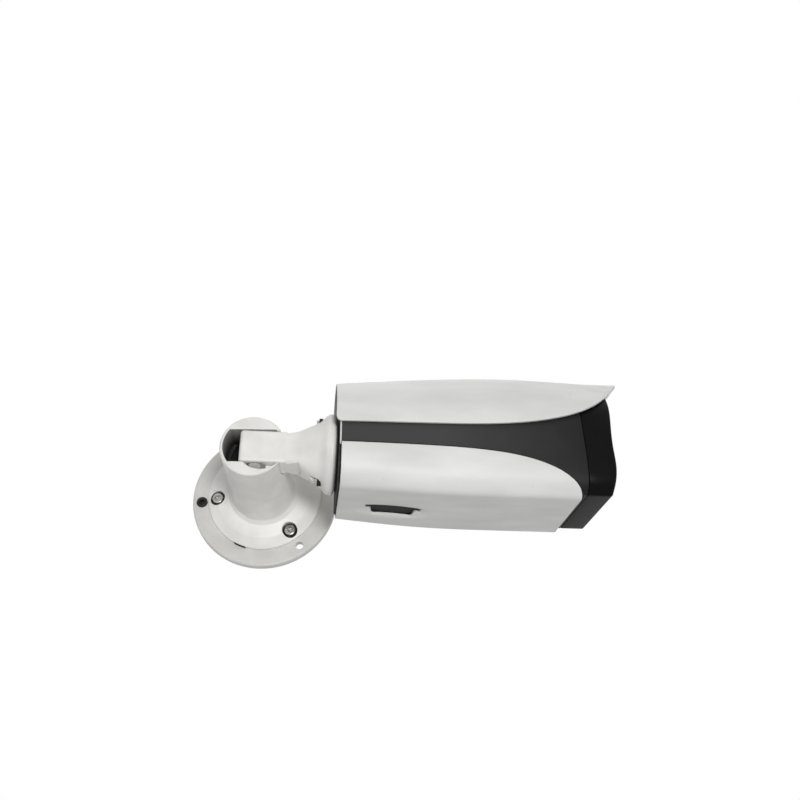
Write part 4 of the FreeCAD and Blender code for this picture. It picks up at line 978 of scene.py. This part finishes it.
class HOUSING_OT_stage(bpy.types.Operator):
    """Set the floor, the lamps, the background and the camera"""
    bl_idname = "housing.stage"
    bl_label = "Stage"

    def execute(self, context):
        stage = context.scene.stage_sizes
        make_floor(stage)
        make_world(stage)
        make_lamp("Key_lamp", (0.26, -1.15, -0.25), 0.22, stage.key_power)
        make_lamp("Fill_lamp", (-0.6, -0.9, 0.1), 0.8, stage.fill_power)
        make_lamp("Back_lamp", (0.3, 1.5, 1.1), 1.3, stage.back_power)
        make_lamp("Top_lamp", (0.12, 0.25, 1.3), 1.0, stage.top_power)
        make_camera()
        context.scene.view_settings.view_transform = "Standard"
        return {"FINISHED"}


def make_floor(stage):
    half = 3.0
    corners = [(-half, -half, 0), (half, -half, 0), (half, half, 0), (-half, half, 0)]
    floor = new_piece("floor", corners, [(0, 1, 2, 3)], Matrix.Translation((0.1, 0.0, -stage.floor_drop)))
    finish, tree, shader, spot = new_finish("Pale_floor_paint", linear("#ededec"), 0.7)
    tint(tree, spot, shader, linear("#efefee"), linear("#eaeae9"), 180.0)
    # Pale where it is looked at, in gloss and through glass, while the object's shadow stays.
    glow = add_node(tree, "ShaderNodeMath", {1: stage.floor_glow}, {0: (seen_rays(tree), 0)}, operation="MULTIPLY")
    tree.links.new(glow.outputs[0], shader.inputs["Emission Strength"])
    shader.inputs["Emission Color"].default_value = (1.0, 1.0, 1.0, 1.0)
    floor.data.materials.append(finish)


def seen_rays(tree):
    """One for rays from the camera, in gloss and through glass, and zero for the light on surfaces."""
    path = add_node(tree, "ShaderNodeLightPath")
    seen = add_node(tree, "ShaderNodeMath", links={0: (path, "Is Camera Ray"), 1: (path, "Is Glossy Ray")},
                    operation="MAXIMUM")
    return add_node(tree, "ShaderNodeMath", links={0: (seen, 0), 1: (path, "Is Transmission Ray")},
                    operation="MAXIMUM")


def make_world(stage):
    """White to the camera, in gloss and through glass; an even pale light elsewhere."""
    world = bpy.data.worlds.new("Soft_white_studio")
    bpy.context.scene.world = world
    world.use_nodes = True
    tree = world.node_tree
    tree.nodes.clear()
    seen = seen_rays(tree)
    even = add_node(tree, "ShaderNodeBackground", {"Color": (1.0, 1.0, 1.0, 1.0), "Strength": stage.ambient})
    white = add_node(tree, "ShaderNodeBackground", {"Color": (1.0, 1.0, 1.0, 1.0), "Strength": 1.0})
    mixed = add_node(tree, "ShaderNodeMixShader", links={0: (seen, 0), 1: (even, 0), 2: (white, 0)})
    add_node(tree, "ShaderNodeOutputWorld", links={"Surface": (mixed, 0)})


def make_lamp(name, place, size, power):
    lamp = bpy.data.lights.new(name, "AREA")
    lamp.shape = "DISK"
    lamp.size = size
    lamp.energy = power
    holder = bpy.data.objects.new(name, lamp)
    holder.location = place
    aim = Vector((0.08, -0.05, 0.0)) - Vector(place)
    holder.rotation_euler = aim.to_track_quat("-Z", "Y").to_euler()
    bpy.context.scene.collection.objects.link(holder)


def make_camera():
    """The photograph's viewpoint: low, a little to the left and level."""
    azimuth, elevation, roll = (math.radians(a) for a in (-2.9, -29.1, -0.6))
    back = Vector((math.sin(azimuth) * math.cos(elevation), -math.cos(azimuth) * math.cos(elevation),
                   math.sin(elevation)))
    right = (-back).cross(Vector((0, 0, 1))).normalized()
    up = right.cross(-back)
    side = math.cos(roll) * right + math.sin(roll) * up
    over = -math.sin(roll) * right + math.cos(roll) * up
    lens = bpy.data.cameras.new("Photo_camera")
    lens.sensor_width = 36.0
    lens.lens = 815.0 / 800.0 * 36.0
    lens.clip_start = 0.01
    viewer = bpy.data.objects.new("Photo_camera", lens)
    turn = Matrix((side, over, back)).transposed().to_4x4()
    viewer.matrix_world = Matrix.Translation((0.0613, -0.4874, -0.1975)) @ turn
    bpy.context.scene.collection.objects.link(viewer)
    bpy.context.scene.camera = viewer


OPERATORS = (HOUSING_OT_carried_nodes, HOUSING_OT_top_cover, HOUSING_OT_lower_cover, HOUSING_OT_cover_shadow_strips,
             HOUSING_OT_front_bezel, HOUSING_OT_bracket_details, HOUSING_OT_stage)
GROUPS = {"shell_sizes": ShellSizes, "finish_colours": FinishColours, "stage_sizes": StageSizes}


class HOUSING_PT_panel(bpy.types.Panel):
    """Sizes, colours and steps of the security camera"""
    bl_idname = "HOUSING_PT_panel"
    bl_label = "Security Camera"
    bl_space_type = "VIEW_3D"
    bl_region_type = "UI"
    bl_category = "Security Camera"

    def draw(self, context):
        for name, group in GROUPS.items():
            box = self.layout.box()
            for setting in group.__annotations__:
                box.prop(getattr(context.scene, name), setting)
        for step in OPERATORS:
            self.layout.operator(step.bl_idname)


def register():
    for kind in (*GROUPS.values(), *OPERATORS, HOUSING_PT_panel):
        bpy.utils.register_class(kind)
    for name, group in GROUPS.items():
        setattr(bpy.types.Scene, name, PointerProperty(type=group))


def unregister():
    for name in GROUPS:
        delattr(bpy.types.Scene, name)
    for kind in reversed((*GROUPS.values(), *OPERATORS, HOUSING_PT_panel)):
        bpy.utils.unregister_class(kind)


def main():
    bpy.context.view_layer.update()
    register()
    finishes.update(make_finishes(bpy.context.scene.finish_colours))
    for step in OPERATORS:
        group, name = step.bl_idname.split(".")
        getattr(getattr(bpy.ops, group), name)()


if __name__ == "__main__":
    main()
